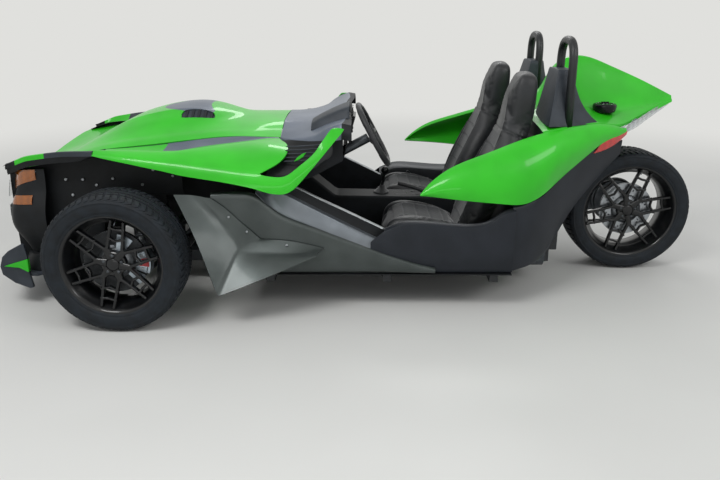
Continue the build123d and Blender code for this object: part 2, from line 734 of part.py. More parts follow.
keep("cowl", skin([cowl_section(row) for row in cowl_lines]))
dash = body_block(60, 300, -572, 572, 640, 980) & skin([under_cowl_section(row) for row in cowl_lines])
dash -= rod(column_start, column_end, 24 + seat_gap)
keep("dashboard", dash)
gauge_outline = [(285, 930), (60, 982), (38, 985), (32, 970), (50, 905), (285, 880)]
gauge = side_plate(stations(gauge_outline), steer_y - 150, steer_y + 150)
gauge -= skin([cowl_section(row, 200, seat_gap) for row in cowl_lines])
keep("gauge_hood", largest(gauge))

# Centre console, gear lever and pedals

console_half = 88.0
console_top = 420.0
console_outline = [(590, floor_top), (590, 560), (330, 600), (120, 430), (-560, console_top), (-690, 380),
                   (-690, floor_top)]
console = side_plate(stations(console_outline), -console_half, console_half)
keep("centre_console", console)
gear_base = Vector(at(-140.0), 0.0, console_top + 6)
lever = rod(gear_base, gear_base + Vector(-20, 0, 120), 7) + Pos(gear_base + Vector(-22, 0, 132)) * Sphere(22)
lever += drum(gear_base, (0, 0, 1), 38, 10)
lever -= console
keep("gear_lever", lever)
pedals = []
for y in (250, 340, 430):
    pedal = rod((firewall_x - seat_gap, y, 420), (firewall_x - 80, y, 300), 7)
    pedal += block(firewall_x - 88, firewall_x - 76, y - 28, y + 28, 262, 330)
    pedals.append(pedal - block(firewall_x - seat_gap, firewall_x + 60, 0, 600, 200, 600))
keep("pedals", *pedals)

# Seats: rails, cushion and a tall back with a narrow head part

seat_y = 345.0
seat_half = 215.0
seat_shift = at(-560.0) + 560.0    # the seats move with the cabin
rail_offset = 150.0


def seat_cushion():
    side = [(-150, 236), (-150, 400), (-190, 418), (-520, 350), (-560, 236)]
    return side_plate(side, seat_y - seat_half, seat_y + seat_half)


seat_rails = []
for way in (-1, 1):
    y = seat_y + way * rail_offset
    seat_rails.append(block(seat_shift - 560, seat_shift - 170, y - 15, y + 15, floor_top, 236 - seat_gap))
floor = block(floor_rear_x, firewall_x + 20, -sill_outer_y, sill_outer_y, rail_top, floor_top)
for rail in seat_rails:
    floor = floor + rail + other_side(rail)
keep("floor_pan", floor)
keep_both("seat_cushions", Pos(seat_shift, 0, 0) * seat_cushion())

# Columns: distance up the back, half width, front offset and rear offset from the back's middle plane
back_lines = ((0, 205, 55, 60), (180, 228, 62, 60), (480, 226, 60, 60), (600, 190, 56, 56),
              (700, 135, 62, 54), (860, 120, 60, 52), (905, 92, 40, 40))
back_foot = Vector(-572.0, seat_y, 262.0)
back_lean = 20.5


def seat_back():
    up = Vector(-sin(radians(back_lean)), 0, cos(radians(back_lean)))
    ahead = Vector(cos(radians(back_lean)), 0, sin(radians(back_lean)))
    rings = []
    for rise, half, front, rear in back_lines:
        base = back_foot + up * rise
        corners = ((front, -0.8), (front, 0.8), (0, 1), (-rear, 0.85), (-rear, -0.85), (0, -1))
        rings.append([base + ahead * out + Vector(0, half * share, 0) for out, share in corners])
    shape = skin([[tuple(p) for p in ring] for ring in rings])
    return shape - side_plate([(-100, 200), (-100, 500), (-520 - seat_gap, 500), (-520 - seat_gap, 350),
                               (-560 - seat_gap, 236), (-560 - seat_gap, 200)], 0, 700)


keep_both("seat_backs", Pos(seat_shift, 0, 0) * seat_back())

# Rear bulkhead, hoop carrier, roll hoops and their fairings

deck_low = 850.0


def bulkhead_section(z, front, rear, half):
    return [(at(front), -half, z), (at(front), half, z), (at(rear), half, z), (at(rear), -half, z)]


bulkhead = skin([bulkhead_section(floor_top, -700, -740, 575),
                 bulkhead_section(deck_low - seat_gap, -942, -982, 515)])
hoop_x = at(-1056.0)
hoop_tube = 21.0
hoop_bend = 96.0
hoop_lean = 14.0         # how far each leg leans in on its way up
hoop_inner_y, hoop_outer_y = 225.0, 468.0
hoop_foot_z = 800.0
hoop_top_z = 1318.0 - hoop_tube
carrier = block(hoop_x - 26, hoop_x + 26, -494, 494, 752, hoop_foot_z)
for way in (-1, 1):
    for y in (hoop_inner_y, hoop_outer_y):
        carrier += block(hoop_x, at(-960), way * y - 20, way * y + 20, 760, 792)
keep("rear_bulkhead", bulkhead + carrier)


def hoop_left():
    foot_z = hoop_foot_z + seat_gap
    path = FilletPolyline((hoop_x, hoop_outer_y, foot_z), (hoop_x, hoop_outer_y - hoop_lean, hoop_top_z),
                          (hoop_x, hoop_inner_y + hoop_lean, hoop_top_z), (hoop_x, hoop_inner_y, foot_z),
                          radius=hoop_bend)
    profile = Plane(origin=(hoop_x, hoop_outer_y, foot_z), z_dir=path % 0) * Circle(hoop_tube)
    return sweep(profile, path=path)


hoop = hoop_left() - block(hoop_x - 60, hoop_x + 60, 0, 700, 700, hoop_foot_z + seat_gap)
keep_both("roll_hoops", hoop)


# Rear deck with its middle hump. Columns: x, edge y and z, valley y and z, hump foot y and z, hump top z,
# low z
deck_lines = (
    (-946, 530, 878, 330, 900, 150, 930, 990, deck_low),
    (-1080, 470, 900, 300, 930, 175, 968, 1160, deck_low),
    (-1205, 395, 905, 240, 940, 165, 975, 1211, deck_low),
    (-1375, 330, 868, 215, 915, 140, 955, 1156, 822),
    (-1586, 120, 925, 100, 938, 70, 960, 1070, 880),
    (-1748, 14, 962, 12, 966, 10, 970, 985, 940),
)


def deck_section(row):
    x, edge_y, edge_z, valley_y, valley_z, foot_y, foot_z, top_z, low_z = at(row[0]), *row[1:]
    half = [(edge_y, low_z), (edge_y, edge_z), (valley_y, valley_z), (foot_y, foot_z), (foot_y * 0.22, top_z)]
    return [(x, y, z) for y, z in half] + [(x, -y, z) for y, z in reversed(half)]


deck_solid = skin([deck_section(row) for row in deck_lines])
deck_holes = [rod((hoop_x, way * y, hoop_foot_z), (hoop_x, way * (y + lean), hoop_top_z), hoop_tube + 4)
              for way in (-1, 1) for y, lean in ((hoop_outer_y, -hoop_lean), (hoop_inner_y, hoop_lean))]
deck = deck_solid
for hole in deck_holes:
    deck -= hole
keep("rear_deck", deck)

fairing_low = 890.0
fairing_top = 1155.0
# Each ring: its height, then its corners as (x, y)
fairing_rings = (
    (fairing_low, (-948, 176), (-948, 512), (-1230, 392), (-1230, 250)),
    (990, (-975, 196), (-975, 470), (-1150, 400), (-1150, 240)),
    (fairing_top, (-1004, 205), (-1004, 400), (-1086, 400), (-1086, 205)),
)
fairing = skin([[(at(x), y, ring[0]) for x, y in ring[1:]] for ring in fairing_rings]) - deck_solid
for y, lean in ((hoop_outer_y, -hoop_lean), (hoop_inner_y, hoop_lean)):
    fairing -= rod((hoop_x, y, hoop_foot_z), (hoop_x, y + lean, hoop_top_z), hoop_tube + 1)
fairing = sorted(fairing.solids(), key=lambda s: s.volume)[-1]
keep_both("hoop_fairings", fairing)
cap_x, cap_y = at(-1300.0), 232.0
cap_block = drum((cap_x, cap_y, 935), (0, 0, 1), 46, 60) - deck_solid
keep("fuel_cap", sorted(cap_block.solids(), key=lambda s: s.center().Z)[-1])

# Rear quarter and rear lower panels. Columns: x, lower y and z, upper y and z, thickness
quarter_lines = (
    (-311, 722, 592, 716, 606, 24),
    (-421, 738, 588, 682, 710, 34),
    (-613, 738, 566, 642, 782, 40),
    (-829, 702, 548, 594, 853, 40),
    (-975, 602, 606, 556, 888, 16),
    (-1200, 462, 745, 424, 900, 14),
    (-1262, 420, 800, 408, 884, 12),
)


def slab_section(row):
    x, low_y, low_z, high_y, high_z, thick = at(row[0]), *row[1:]
    return [(x, low_y, low_z), (x, high_y, high_z), (x, high_y - thick, high_z), (x, low_y - thick, low_z)]


quarter = skin([slab_section(row) for row in quarter_lines]) - deck_solid
quarter = largest(quarter - bulkhead)
keep_both("rear_quarters", quarter)

lower_lines = (
    (-776 - seat_gap, 704, 197, 704, 540, 44),
    (-944, 604, 204, 606, 594, 40),
    (-1062, 470, 395, 540, 660, 32),
    (-1176, 405, 529, 472, 730, 26),
    (-1381, 300, 698, 350, 790, 20),
)
lower = skin([slab_section(row) for row in lower_lines]) - quarter - deck_solid
lower = largest(lower)
keep_both("rear_lowers", lower)

# Tail lamps along the tail's swept edge. Columns: x, y, low z, high z
tail_line = ((-1262, 420, 744, 800), (-1333, 372, 780, 838), (-1403, 312, 824, 862))
lens_line = ((-1404, 310, 826, 862), (-1540, 170, 868, 905), (-1700, 40, 925, 948))


def lamp_solid(table, depth):
    """A strip along the tail's edge, sunk inward by its depth."""
    rings = []
    for station, y, z0, z1 in table:
        x, inner_x, inner_lamp_y = at(station), at(station) + depth, y - depth
        rings.append([(x, y, z0), (x, y, z1), (inner_x, inner_lamp_y, z1), (inner_x, inner_lamp_y, z0)])
    return skin(rings)


tail_lamp = lamp_solid(tail_line, 26) - deck_solid - quarter - lower
tail_lens = lamp_solid(lens_line, 26) - deck_solid
keep_both("tail_lamps", largest(tail_lamp), largest(tail_lens))

# Rear suspension and drive: a one-sided swingarm, its coil-over, the belt and its sprockets

pivot_x, pivot_z = hoop_x - 10.0, 250.0
pivot_radius = 34.0
swing_y0, swing_y1 = -250.0, -186.0
rear_axle = (rear_axle_x, 0, rear_tyre_radius)
rear_disc_y = 30.0
sprocket_y = -156.0
sprocket_width = 24.0
rear_sprocket_radius = 120.0
front_sprocket_radius = 60.0
belt_thickness = 8.0
rear_hub_inner = -172.0
rear_hub_outer = rear_face - 44

swing = side_plate([(pivot_x + 45, pivot_z - 45), (pivot_x + 45, pivot_z + 50),
                    (rear_axle_x + 60, rear_tyre_radius + 58), (rear_axle_x - 50, rear_tyre_radius + 40),
                    (rear_axle_x - 50, rear_tyre_radius - 40), (rear_axle_x + 40, rear_tyre_radius - 58)],
                   swing_y0, swing_y1)
swing += drum((pivot_x, 0, pivot_z), (0, 1, 0), pivot_radius, 2 * 250)
swing += rod((rear_axle_x, swing_y1 - 4, rear_tyre_radius),
             (rear_axle_x, rear_hub_outer - 2, rear_tyre_radius), axle_pin_radius)
shock_foot_x, shock_foot_z = pivot_x - 56, pivot_z + 40
swing += block(shock_foot_x - 20, pivot_x, -34, 34, pivot_z - 16, shock_foot_z)
keep("swingarm", swing)
rear_shock = coil_over((shock_foot_x, 0, shock_foot_z + seat_gap + 8), (hoop_x, 0, 752 - 16), 34.0, 8)
rear_shock += drum((shock_foot_x, 0, shock_foot_z + seat_gap + 8), (0, 1, 0), 8, 50)
rear_shock += drum((hoop_x, 0, 752 - 16 - seat_gap), (0, 1, 0), 16, 60)
keep("coil_overs", front_shock, other_side(front_shock), rear_shock)

rear_hub = drum((0, (rear_hub_inner + rear_hub_outer) / 2, 0), (0, 1, 0), 38, rear_hub_outer - rear_hub_inner)
rear_hub += drum((0, sprocket_y, 0), (0, 1, 0), rear_sprocket_radius, sprocket_width)
rear_hub += drum((0, rear_disc_y, 0), (0, 1, 0), disc_radius, 10)
rear_hub -= drum((0, -40, 0), (0, 1, 0), axle_pin_radius + turn_gap, 400)
keep("tyre_rear", Pos(*rear_axle) * rear_tyre)
keep("rim_rear", Pos(*rear_axle) * rear_rim)
keep("hub_rear", Pos(*rear_axle) * rear_hub)


def belt_hull(extra, width):
    """The straight-sided loop round both sprockets, grown outward by extra."""
    front_r, rear_r = front_sprocket_radius + extra, rear_sprocket_radius + extra
    a, b = Vector(pivot_x, 0, pivot_z), Vector(*rear_axle)
    span = (b - a).length
    along = (b - a).normalized()
    across = Vector(-along.Z, 0, along.X)
    lean = (rear_r - front_r) / span
    rise = (1 - lean * lean) ** 0.5
    corners = []
    for centre, radius, way in ((a, front_r, 1), (b, rear_r, 1), (b, rear_r, -1), (a, front_r, -1)):
        corners.append(centre - along * (lean * radius) + across * (way * rise * radius))
    made = side_plate([(c.X, c.Z) for c in corners], sprocket_y - width / 2, sprocket_y + width / 2)
    for centre, radius in ((a, front_r), (b, rear_r)):
        made += drum((centre.X, sprocket_y, centre.Z), (0, 1, 0), radius, width)
    return made


belt = belt_hull(turn_gap + belt_thickness, sprocket_width - 2) - belt_hull(turn_gap, sprocket_width)
front_sprocket = drum((pivot_x, sprocket_y, pivot_z), (0, 1, 0), front_sprocket_radius, sprocket_width,
                      pivot_radius + turn_gap)
keep("belt_drive", belt, front_sprocket)

ears = []
for way in (-1, 1):
    ear = block(rail_rear_x - seat_gap, pivot_x - 40, way * (250 + seat_gap), way * 300, 180, 320)
    ear += block(rail_rear_x - seat_gap, rail_rear_x - 12, way * 290, way * 350, ground_clearance, 320)
    ears.append(ear)
keep("frame_cross_members", *crosses, *arms, *[other_side(a) for a in arms], *ears)

muffler_x, muffler_y, muffler_z = at(-885.0), 470.0, 225.0
muffler = drum((muffler_x, muffler_y, muffler_z), (1, 0, 0), 66, 190)
muffler += rod((muffler_x - 105, muffler_y, muffler_z), (muffler_x, muffler_y, muffler_z), 24)
muffler += block(muffler_x - 15, muffler_x + 15, 400, muffler_y, 250, 284)
muffler += block(muffler_x - 15, muffler_x + 15, outer_y + seat_gap, 410, 150, 284)
keep("muffler", muffler)

os.makedirs("parts", exist_ok=True)
for name, shape in nodes.items():
    export_step(shape, "parts/" + name + ".step")
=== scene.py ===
import bpy
import bmesh
from math import cos, degrees, pi, radians, sin
from mathutils import Matrix, Vector


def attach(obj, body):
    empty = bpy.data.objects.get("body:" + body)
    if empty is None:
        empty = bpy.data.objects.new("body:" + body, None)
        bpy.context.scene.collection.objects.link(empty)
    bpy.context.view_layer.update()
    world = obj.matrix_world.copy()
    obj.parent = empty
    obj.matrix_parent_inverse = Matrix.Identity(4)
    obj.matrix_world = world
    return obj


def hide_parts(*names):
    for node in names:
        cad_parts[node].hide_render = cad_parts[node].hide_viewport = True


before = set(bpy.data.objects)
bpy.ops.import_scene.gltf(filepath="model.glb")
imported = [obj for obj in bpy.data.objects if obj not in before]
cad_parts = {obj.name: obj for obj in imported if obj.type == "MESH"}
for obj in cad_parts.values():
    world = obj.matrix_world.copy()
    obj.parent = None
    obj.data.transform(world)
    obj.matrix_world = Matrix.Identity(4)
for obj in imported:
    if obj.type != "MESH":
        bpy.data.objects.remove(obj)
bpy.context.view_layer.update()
mm = 0.001                      # every table below is in millimetres, the scene in metres
frontAxle = (1110.5, 877.5, 330.0)
rearAxle = (-1556.5, 0.0, 343.5)


# nodes and materials

def linearColour(hexColour):
    parts = [int(hexColour[i:i + 2], 16) / 255 for i in (1, 3, 5)]
    return tuple(p / 12.92 if p <= 0.04045 else ((p + 0.055) / 1.055) ** 2.4 for p in parts) + (1.0,)


def addNode(tree, kind, inputs=None, **settings):
    node = tree.nodes.new("ShaderNode" + kind)
    for key, value in settings.items():
        setattr(node, key, value)
    for key, value in (inputs or {}).items():
        if isinstance(value, bpy.types.NodeSocket):
            tree.links.new(value, node.inputs[key])
        else:
            node.inputs[key].default_value = value
    return node


def startMaterial(name, values):
    made = bpy.data.materials.new(name)
    made.use_nodes = True
    tree = made.node_tree
    tree.nodes.clear()
    shader = addNode(tree, "BsdfPrincipled", values)
    addNode(tree, "OutputMaterial", {"Surface": shader.outputs[0]})
    place = addNode(tree, "TexCoord")
    return made, tree, shader, place.outputs["Object"]


def perMetre(sizeInMillimetres):
    return 1000.0 / sizeInMillimetres


def blend(tree, shader, factor, first, second):
    # the base colour: the first where the factor is 0, the second where it is 1
    mixed = addNode(tree, "Mix", {"Factor": factor, 6: first, 7: second}, data_type="RGBA")
    tree.links.new(mixed.outputs[2], shader.inputs["Base Color"])
    return mixed.outputs[2]


def mottle(tree, shader, place, light, dark, size, detail=2.0, low=0.35, high=0.65):
    # two close shades of one colour, mixed in soft patches of a given size
    patch = addNode(tree, "TexNoise", {"Vector": place, "Scale": perMetre(size), "Detail": detail})
    spread = addNode(tree, "MapRange", {"Value": patch.outputs[0], "From Min": low, "From Max": high})
    return blend(tree, shader, spread.outputs[0], linearColour(light), linearColour(dark))


def relief(tree, shader, height, strength, distance, socket="Normal"):
    bump = addNode(tree, "Bump", {"Height": height, "Strength": strength, "Distance": distance * mm})
    tree.links.new(bump.outputs[0], shader.inputs[socket])


def pebbled(tree, shader, place, size, detail, strength, distance, socket="Normal"):
    # soft lumps of a given size pressed into the skin
    lumps = addNode(tree, "TexNoise", {"Vector": place, "Scale": perMetre(size), "Detail": detail})
    relief(tree, shader, lumps.outputs[0], strength, distance, socket)


def grained(name, values, shades, lumps):
    # a material of two close shades whose skin has soft lumps
    made, tree, shader, place = startMaterial(name, values)
    mottle(tree, shader, place, *shades)
    pebbled(tree, shader, place, *lumps)
    return made


def waveScale(pitch):
    # a wave node turns through 20 radians for each unit of its scale
    return perMetre(pitch) / 20.0


def sprayedEnamel():
    # two-stage automotive enamel over moulded panels: deep colour, clear gloss and faint orange peel
    return grained("sprayedGreenEnamel", {"Roughness": 0.42, "Coat Weight": 0.35, "Specular IOR Level": 0.3,
                                          "Coat Roughness": 0.04, "Coat IOR": 1.5},
                   ("#2DC11A", "#27B415", 180.0), (4.0, 1.0, 0.05, 0.6, "Coat Normal"))


def metallicEnamel(name, light, dark, flakeLight, metallic, roughness, coat):
    # enamel with aluminium flake: small specks that catch the light under a clear coat
    made, tree, shader, place = startMaterial(name, {
        "Metallic": metallic, "Roughness": roughness, "Coat Weight": coat, "Coat Roughness": 0.12,
        "Specular IOR Level": 0.3})
    base = mottle(tree, shader, place, light, dark, 140.0)
    flake = addNode(tree, "TexVoronoi", {"Vector": place, "Scale": perMetre(1.6)})
    speck = addNode(tree, "MapRange", {"Value": flake.outputs[0], "From Min": 0.12, "From Max": 0.3, "To Min": 0.35,
                                       "To Max": 0.0})
    blend(tree, shader, speck.outputs[0], base, linearColour(flakeLight))
    pebbled(tree, shader, place, 3.0, 1.0, 0.06, 0.4)
    return made


def mouldedPlastic(name, light, dark, grain, roughness=0.55, depth=0.25):
    # injection-moulded polypropylene: dull black with the mould's leather-like grain
    made, tree, shader, place = startMaterial(name, {"Roughness": roughness, "Specular IOR Level": 0.25})
    mottle(tree, shader, place, light, dark, 60.0)
    cells = addNode(tree, "TexVoronoi", {"Vector": place, "Scale": perMetre(grain)}, feature="DISTANCE_TO_EDGE")
    relief(tree, shader, cells.outputs[0], 0.35, depth)
    return made


def tyreCompound():
    # carbon-black rubber, moulded: blue-black, dusty in soft patches all over, finely pitted
    return grained("mouldedTyreRubber", {"Roughness": 0.7, "Specular IOR Level": 0.35},
                   ("#171E25", "#0F1419", 45.0, 4.0), (1.2, 3.0, 0.25, 0.4))


def castAlloyBlack():
    # cast aluminium, gloss black paint under lacquer: sharp highlights on the spokes' edges
    return grained("lacqueredBlackAlloy", {"Roughness": 0.35, "Coat Weight": 0.5, "Coat Roughness": 0.06,
                                           "Specular IOR Level": 0.25},
                   ("#0C0E11", "#070809", 30.0), (5.0, 2.0, 0.08, 0.5, "Coat Normal"))


def turnedSteel(name, centre, light="#B9BDC1", dark="#8B9095", pitch=1.6, roughness=0.3):
    # a ground disc: fine rings round the axle, left by the grinding wheel and the pads
    made, tree, shader, place = startMaterial(name, {"Metallic": 1.0, "Roughness": roughness})
    moved = addNode(tree, "VectorMath", {0: place, 1: tuple(c * mm for c in centre)}, operation="SUBTRACT")
    flat = addNode(tree, "VectorMath", {0: moved.outputs[0], 1: (1.0, 0.0, 1.0)}, operation="MULTIPLY")
    radius = addNode(tree, "VectorMath", {0: flat.outputs[0]}, operation="LENGTH")
    rings = addNode(tree, "TexNoise", {"W": radius.outputs["Value"], "Scale": perMetre(pitch), "Detail": 2.0},
                    noise_dimensions="1D")
    blend(tree, shader, rings.outputs[0], linearColour(light), linearColour(dark))
    relief(tree, shader, rings.outputs[0], 0.2, 0.15)
    return made


def castMetal(name, light, dark, roughness=0.5, grit=1.5):
    # sand-cast or forged metal with a blasted skin: soft grey and slightly rough
    return grained(name, {"Metallic": 0.9, "Roughness": roughness}, (light, dark, 25.0, 3.0), (grit, 2.0, 0.3, 0.3))


def powderCoat(name, light, dark, roughness=0.45):
    # baked powder coat on steel tube: even satin with a fine pebbled skin
    return grained(name, {"Roughness": roughness, "Specular IOR Level": 0.5}, (light, dark, 90.0),
                   (2.2, 1.0, 0.15, 0.4))


def coatedVinyl(name, light, dark, grain, roughness=0.5):
    # calendered seat vinyl: leather grain pressed in, a little smoother or rougher in soft patches
    made, tree, shader, place = startMaterial(name, {"Sheen Weight": 0.15, "Sheen Roughness": 0.5})
    mottle(tree, shader, place, light, dark, 70.0, 3.0)
    cells = addNode(tree, "TexVoronoi", {"Vector": place, "Scale": perMetre(grain)}, feature="DISTANCE_TO_EDGE")
    wear = addNode(tree, "TexNoise", {"Vector": place, "Scale": perMetre(110.0), "Detail": 3.0})
    rough = addNode(tree, "MapRange", {"Value": wear.outputs[0], "From Min": 0.3, "From Max": 0.7,
                                       "To Min": roughness - 0.08, "To Max": roughness + 0.08})
    tree.links.new(rough.outputs[0], shader.inputs["Roughness"])
    relief(tree, shader, cells.outputs[0], 0.4, 0.4)
    return made


def wovenFabric(name, light, dark, thread):
    # plain-woven seat cloth: crossed threads, drawn about four times too coarse so that they show
    made, tree, shader, place = startMaterial(name, {"Roughness": 0.85, "Sheen Weight": 0.3})
    mottle(tree, shader, place, light, dark, 50.0, 3.0)
    turned = addNode(tree, "Mapping", {"Vector": place, "Rotation": (radians(45), 0.0, radians(45))})
    threads = [addNode(tree, "TexWave", {"Vector": turned.outputs[0], "Scale": waveScale(thread)},
                       bands_direction=way) for way in ("X", "Y")]
    both = addNode(tree, "Math", {0: threads[0].outputs[1], 1: threads[1].outputs[1]}, operation="MAXIMUM")
    relief(tree, shader, both.outputs[0], 0.5, 0.5)
    return made


def lens(name, colour, transmission, roughness=0.08):
    # moulded polycarbonate lens: coloured through, glossy, with fine vertical flutes inside
    made, tree, shader, place = startMaterial(name, {
        "Base Color": linearColour(colour), "Roughness": roughness, "Transmission Weight": transmission,
        "IOR": 1.58, "Coat Weight": 0.6, "Coat Roughness": 0.03})
    flutes = addNode(tree, "TexWave", {"Vector": place, "Scale": waveScale(6.0)}, bands_direction="X")
    relief(tree, shader, flutes.outputs[1], 0.25, 0.6)
    tint = linearColour(colour)
    blend(tree, shader, flutes.outputs[1], tint, tuple(c * 0.82 for c in tint[:3]) + (1.0,))
    return made


def tuftedCarpet():
    # cut-pile floor carpet: dark, matt, tufted
    return grained("tuftedCarpet", {"Roughness": 0.95, "Sheen Weight": 0.2}, ("#1D1F22", "#121315", 12.0, 4.0),
                   (3.0, 3.0, 0.8, 2.0))


finish = {
    "green": sprayedEnamel(),
    "slate": metallicEnamel("slateFlakeEnamel", "#6B7381", "#626A78", "#9AA3AE", 0.35, 0.45, 0.15),
    "pewter": metallicEnamel("pewterFlakeEnamel", "#4A504F", "#404645", "#7B807E", 0.6, 0.38, 0.2),
    "charcoal": metallicEnamel("charcoalFlakeEnamel", "#23272E", "#1D2127", "#454B54", 0.3, 0.5, 0.1),
    "plastic": mouldedPlastic("grainedBlackPolypropylene", "#14171A", "#0F1113", 1.8),
    "glossPlastic": mouldedPlastic("polishedBlackABS", "#15171A", "#0F1113", 6.0, 0.22, 0.05),
    "dashSkin": mouldedPlastic("softDashSkin", "#1B1E22", "#141619", 2.4, 0.6, 0.4),
    "greyTrim": mouldedPlastic("mouldedGreyTrim", "#3A3F46", "#31363C", 2.0, 0.5),
    "stepMetal": metallicEnamel("stepPlateFlakeEnamel", "#7E848A", "#6C7278", "#A8AEB4", 0.7, 0.36, 0.3),
    "tyre": tyreCompound(),
    "alloy": castAlloyBlack(),
    "castAluminium": castMetal("castAluminium", "#8E9296", "#767A7E", 0.48),
    "forgedSteel": castMetal("forgedSteel", "#5A5E62", "#484C50", 0.5),
    "castIron": castMetal("castIronBlock", "#4A4C4E", "#3A3C3E", 0.62, 2.5),
    "zinc": castMetal("zincPlatedSteel", "#A9ADB0", "#94989C", 0.35),
    "discLeft": turnedSteel("groundDiscSteelLeft", frontAxle),
    "discRight": turnedSteel("groundDiscSteelRight", (frontAxle[0], -frontAxle[1], frontAxle[2])),
    "discRear": turnedSteel("groundDiscSteelRear", rearAxle),
    "caliper": powderCoat("redPowderCoat", "#B4232A", "#9E1C23", 0.38),
    "powder": powderCoat("blackPowderCoat", "#1A1D20", "#141618"),
    "frame": powderCoat("frameGreyPowderCoat", "#2A2D30", "#212427", 0.5),
    "springPowder": powderCoat("springPowderCoat", "#2B2E33", "#202327", 0.4),
    "vinyl": coatedVinyl("seatVinyl", "#1A1D21", "#121418", 2.6),
    "fabric": wovenFabric("seatWovenCloth", "#202327", "#16181B", 3.0),
    "grip": coatedVinyl("gripLeatherette", "#1D1F22", "#141518", 2.0, 0.55),
    "belt": mouldedPlastic("ribbedDriveBelt", "#1A1B1C", "#111213", 4.0, 0.7),
    "carpet": tuftedCarpet(),
    "clear": lens("clearPolycarbonate", "#E8EDF0", 0.75, 0.04),
    "red": lens("redPolycarbonate", "#D3221A", 0.15),
    "amber": lens("amberPolycarbonate", "#9A5410", 0.15),
    "brightCasting": castMetal("bareCastKnuckleAluminium", "#B4BEC6", "#98A2AB", 0.36),
    "reflector": castMetal("vacuumMetallisedReflector", "#C9CDD0", "#AEB2B6", 0.18, 4.0),
}
print("materials made:", len(finish))


# mesh builders

class Sheet:
    # a mesh whose grids share the corners that lie on the same place
    def __init__(self):
        self.mesh = bmesh.new()
        self.points = {}
        self.sharp = self.mesh.edges.layers.float.new("crease_edge")

    def vertex(self, place):
        key = tuple(round(v, 1) for v in place)
        if key not in self.points:
            self.points[key] = self.mesh.verts.new(Vector(place) * mm)
        return self.points[key]

    def grid(self, rows, columns=None, across=None, holes=(), paint=None, flip=False):
        # rows run front to rear and points inside to outside, which turns the faces outward on the left
        made = [[self.vertex(p) for p in row] for row in rows]
        for r in range(len(rows) - 1):
            for c in range(len(rows[0]) - 1):
                if (r, c) in holes:
                    continue
                ring = [made[r][c], made[r][c + 1], made[r + 1][c + 1], made[r + 1][c]]
                ring = [v for i, v in enumerate(ring) if v is not ring[i - 1]]
                if len(ring) < 3:
                    continue
                face = self.mesh.faces.new(ring[::-1] if flip else ring)
                face.smooth = True
                face.material_index = paint(r, c) if paint else 0
        for c, sharpness in (columns or {}).items():
            for r in range(len(rows) - 1):
                self.crease(made[r][c], made[r + 1][c], sharpness)
        for r, sharpness in (across or {}).items():
            for c in range(len(rows[0]) - 1):
                self.crease(made[r][c], made[r][c + 1], sharpness)
        return made

    def crease(self, a, b, sharpness):
        edge = self.mesh.edges.get((a, b)) if a is not b else None
        if edge:
            edge[self.sharp] = sharpness


def addObject(name, mesh, finishes):
    data = bpy.data.meshes.new(name)
    mesh.to_mesh(data)
    mesh.free()
    piece = bpy.data.objects.new(name, data)
    bpy.context.scene.collection.objects.link(piece)
    for word in finishes.split():
        data.materials.append(finish[word])
    return piece


def settle(piece, body, nodes=()):
    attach(piece, body)
    if nodes:
        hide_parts(*nodes)


def closePiece(mesh, name, finishes, nodes=(), body="chassis", bevel=(), outward=True):
    # ends a piece: faces turned outward, finishes by name, edges rounded, then its body and replaced nodes
    if outward:
        bmesh.ops.recalc_face_normals(mesh, faces=mesh.faces)
    piece = addObject(name, mesh, finishes)
    if bevel:
        bevelPiece(piece, *bevel)
    settle(piece, body, nodes)


def modify(piece, kind, **settings):
    made = piece.modifiers.new(kind.title(), kind)
    for key, value in settings.items():
        setattr(made, key, value)
    return made


def bevelPiece(piece, width, segments=2, angle=35, **settings):
    modify(piece, "BEVEL", width=width * mm, segments=segments, limit_method="ANGLE", angle_limit=radians(angle),
           harden_normals=True, **settings)


def sheetPiece(name, sheet, finishes, thickness, nodes=(), body="chassis", level=2, mirrored=True, edge=1.6):
    # smooth the cage, give the sheet its wall inward, and round the wall's edges
    piece = addObject(name, sheet.mesh, finishes)
    if mirrored:
        modify(piece, "MIRROR", use_axis=(False, True, False), merge_threshold=0.0004)
    modify(piece, "SUBSURF", levels=level, render_levels=level, boundary_smooth="PRESERVE_CORNERS")
    modify(piece, "SOLIDIFY", thickness=thickness * mm, offset=-1.0, use_even_offset=True, thickness_clamp=1.0)
    bevelPiece(piece, edge, 2, 38)
    settle(piece, body, nodes)


def roundedCad(node, finishes, width=2.0, segments=2, angle=30):
    # a CAD piece that stays: welded, its edges rounded, and given its finish
    piece = bpy.data.objects[node]
    words = finishes.split()
    for i, place in enumerate(piece.material_slots):
        place.material = finish[words[min(i, len(words) - 1)]]
    modify(piece, "WELD", merge_threshold=0.00002)
    bevelPiece(piece, width, segments, angle, use_clamp_overlap=True)


def boxFaces(mesh, corners, index):
    for ring in ((0, 2, 3, 1), (4, 5, 7, 6), (0, 1, 5, 4), (2, 6, 7, 3), (0, 4, 6, 2), (1, 3, 7, 5)):
        mesh.faces.new([corners[i] for i in ring]).material_index = index


def boxInto(mesh, low, high, index=0, turn=None, around=(0, 0, 0)):
    # a box between two corners, turned about a point if asked
    corners = []
    for i in range(8):
        place = Vector([(high if i >> k & 1 else low)[k] for k in range(3)])
        if turn:
            place = Matrix.Rotation(radians(turn[0]), 3, turn[1]) @ (place - Vector(around)) + Vector(around)
        corners.append(mesh.verts.new(place * mm))
    boxFaces(mesh, corners, index)


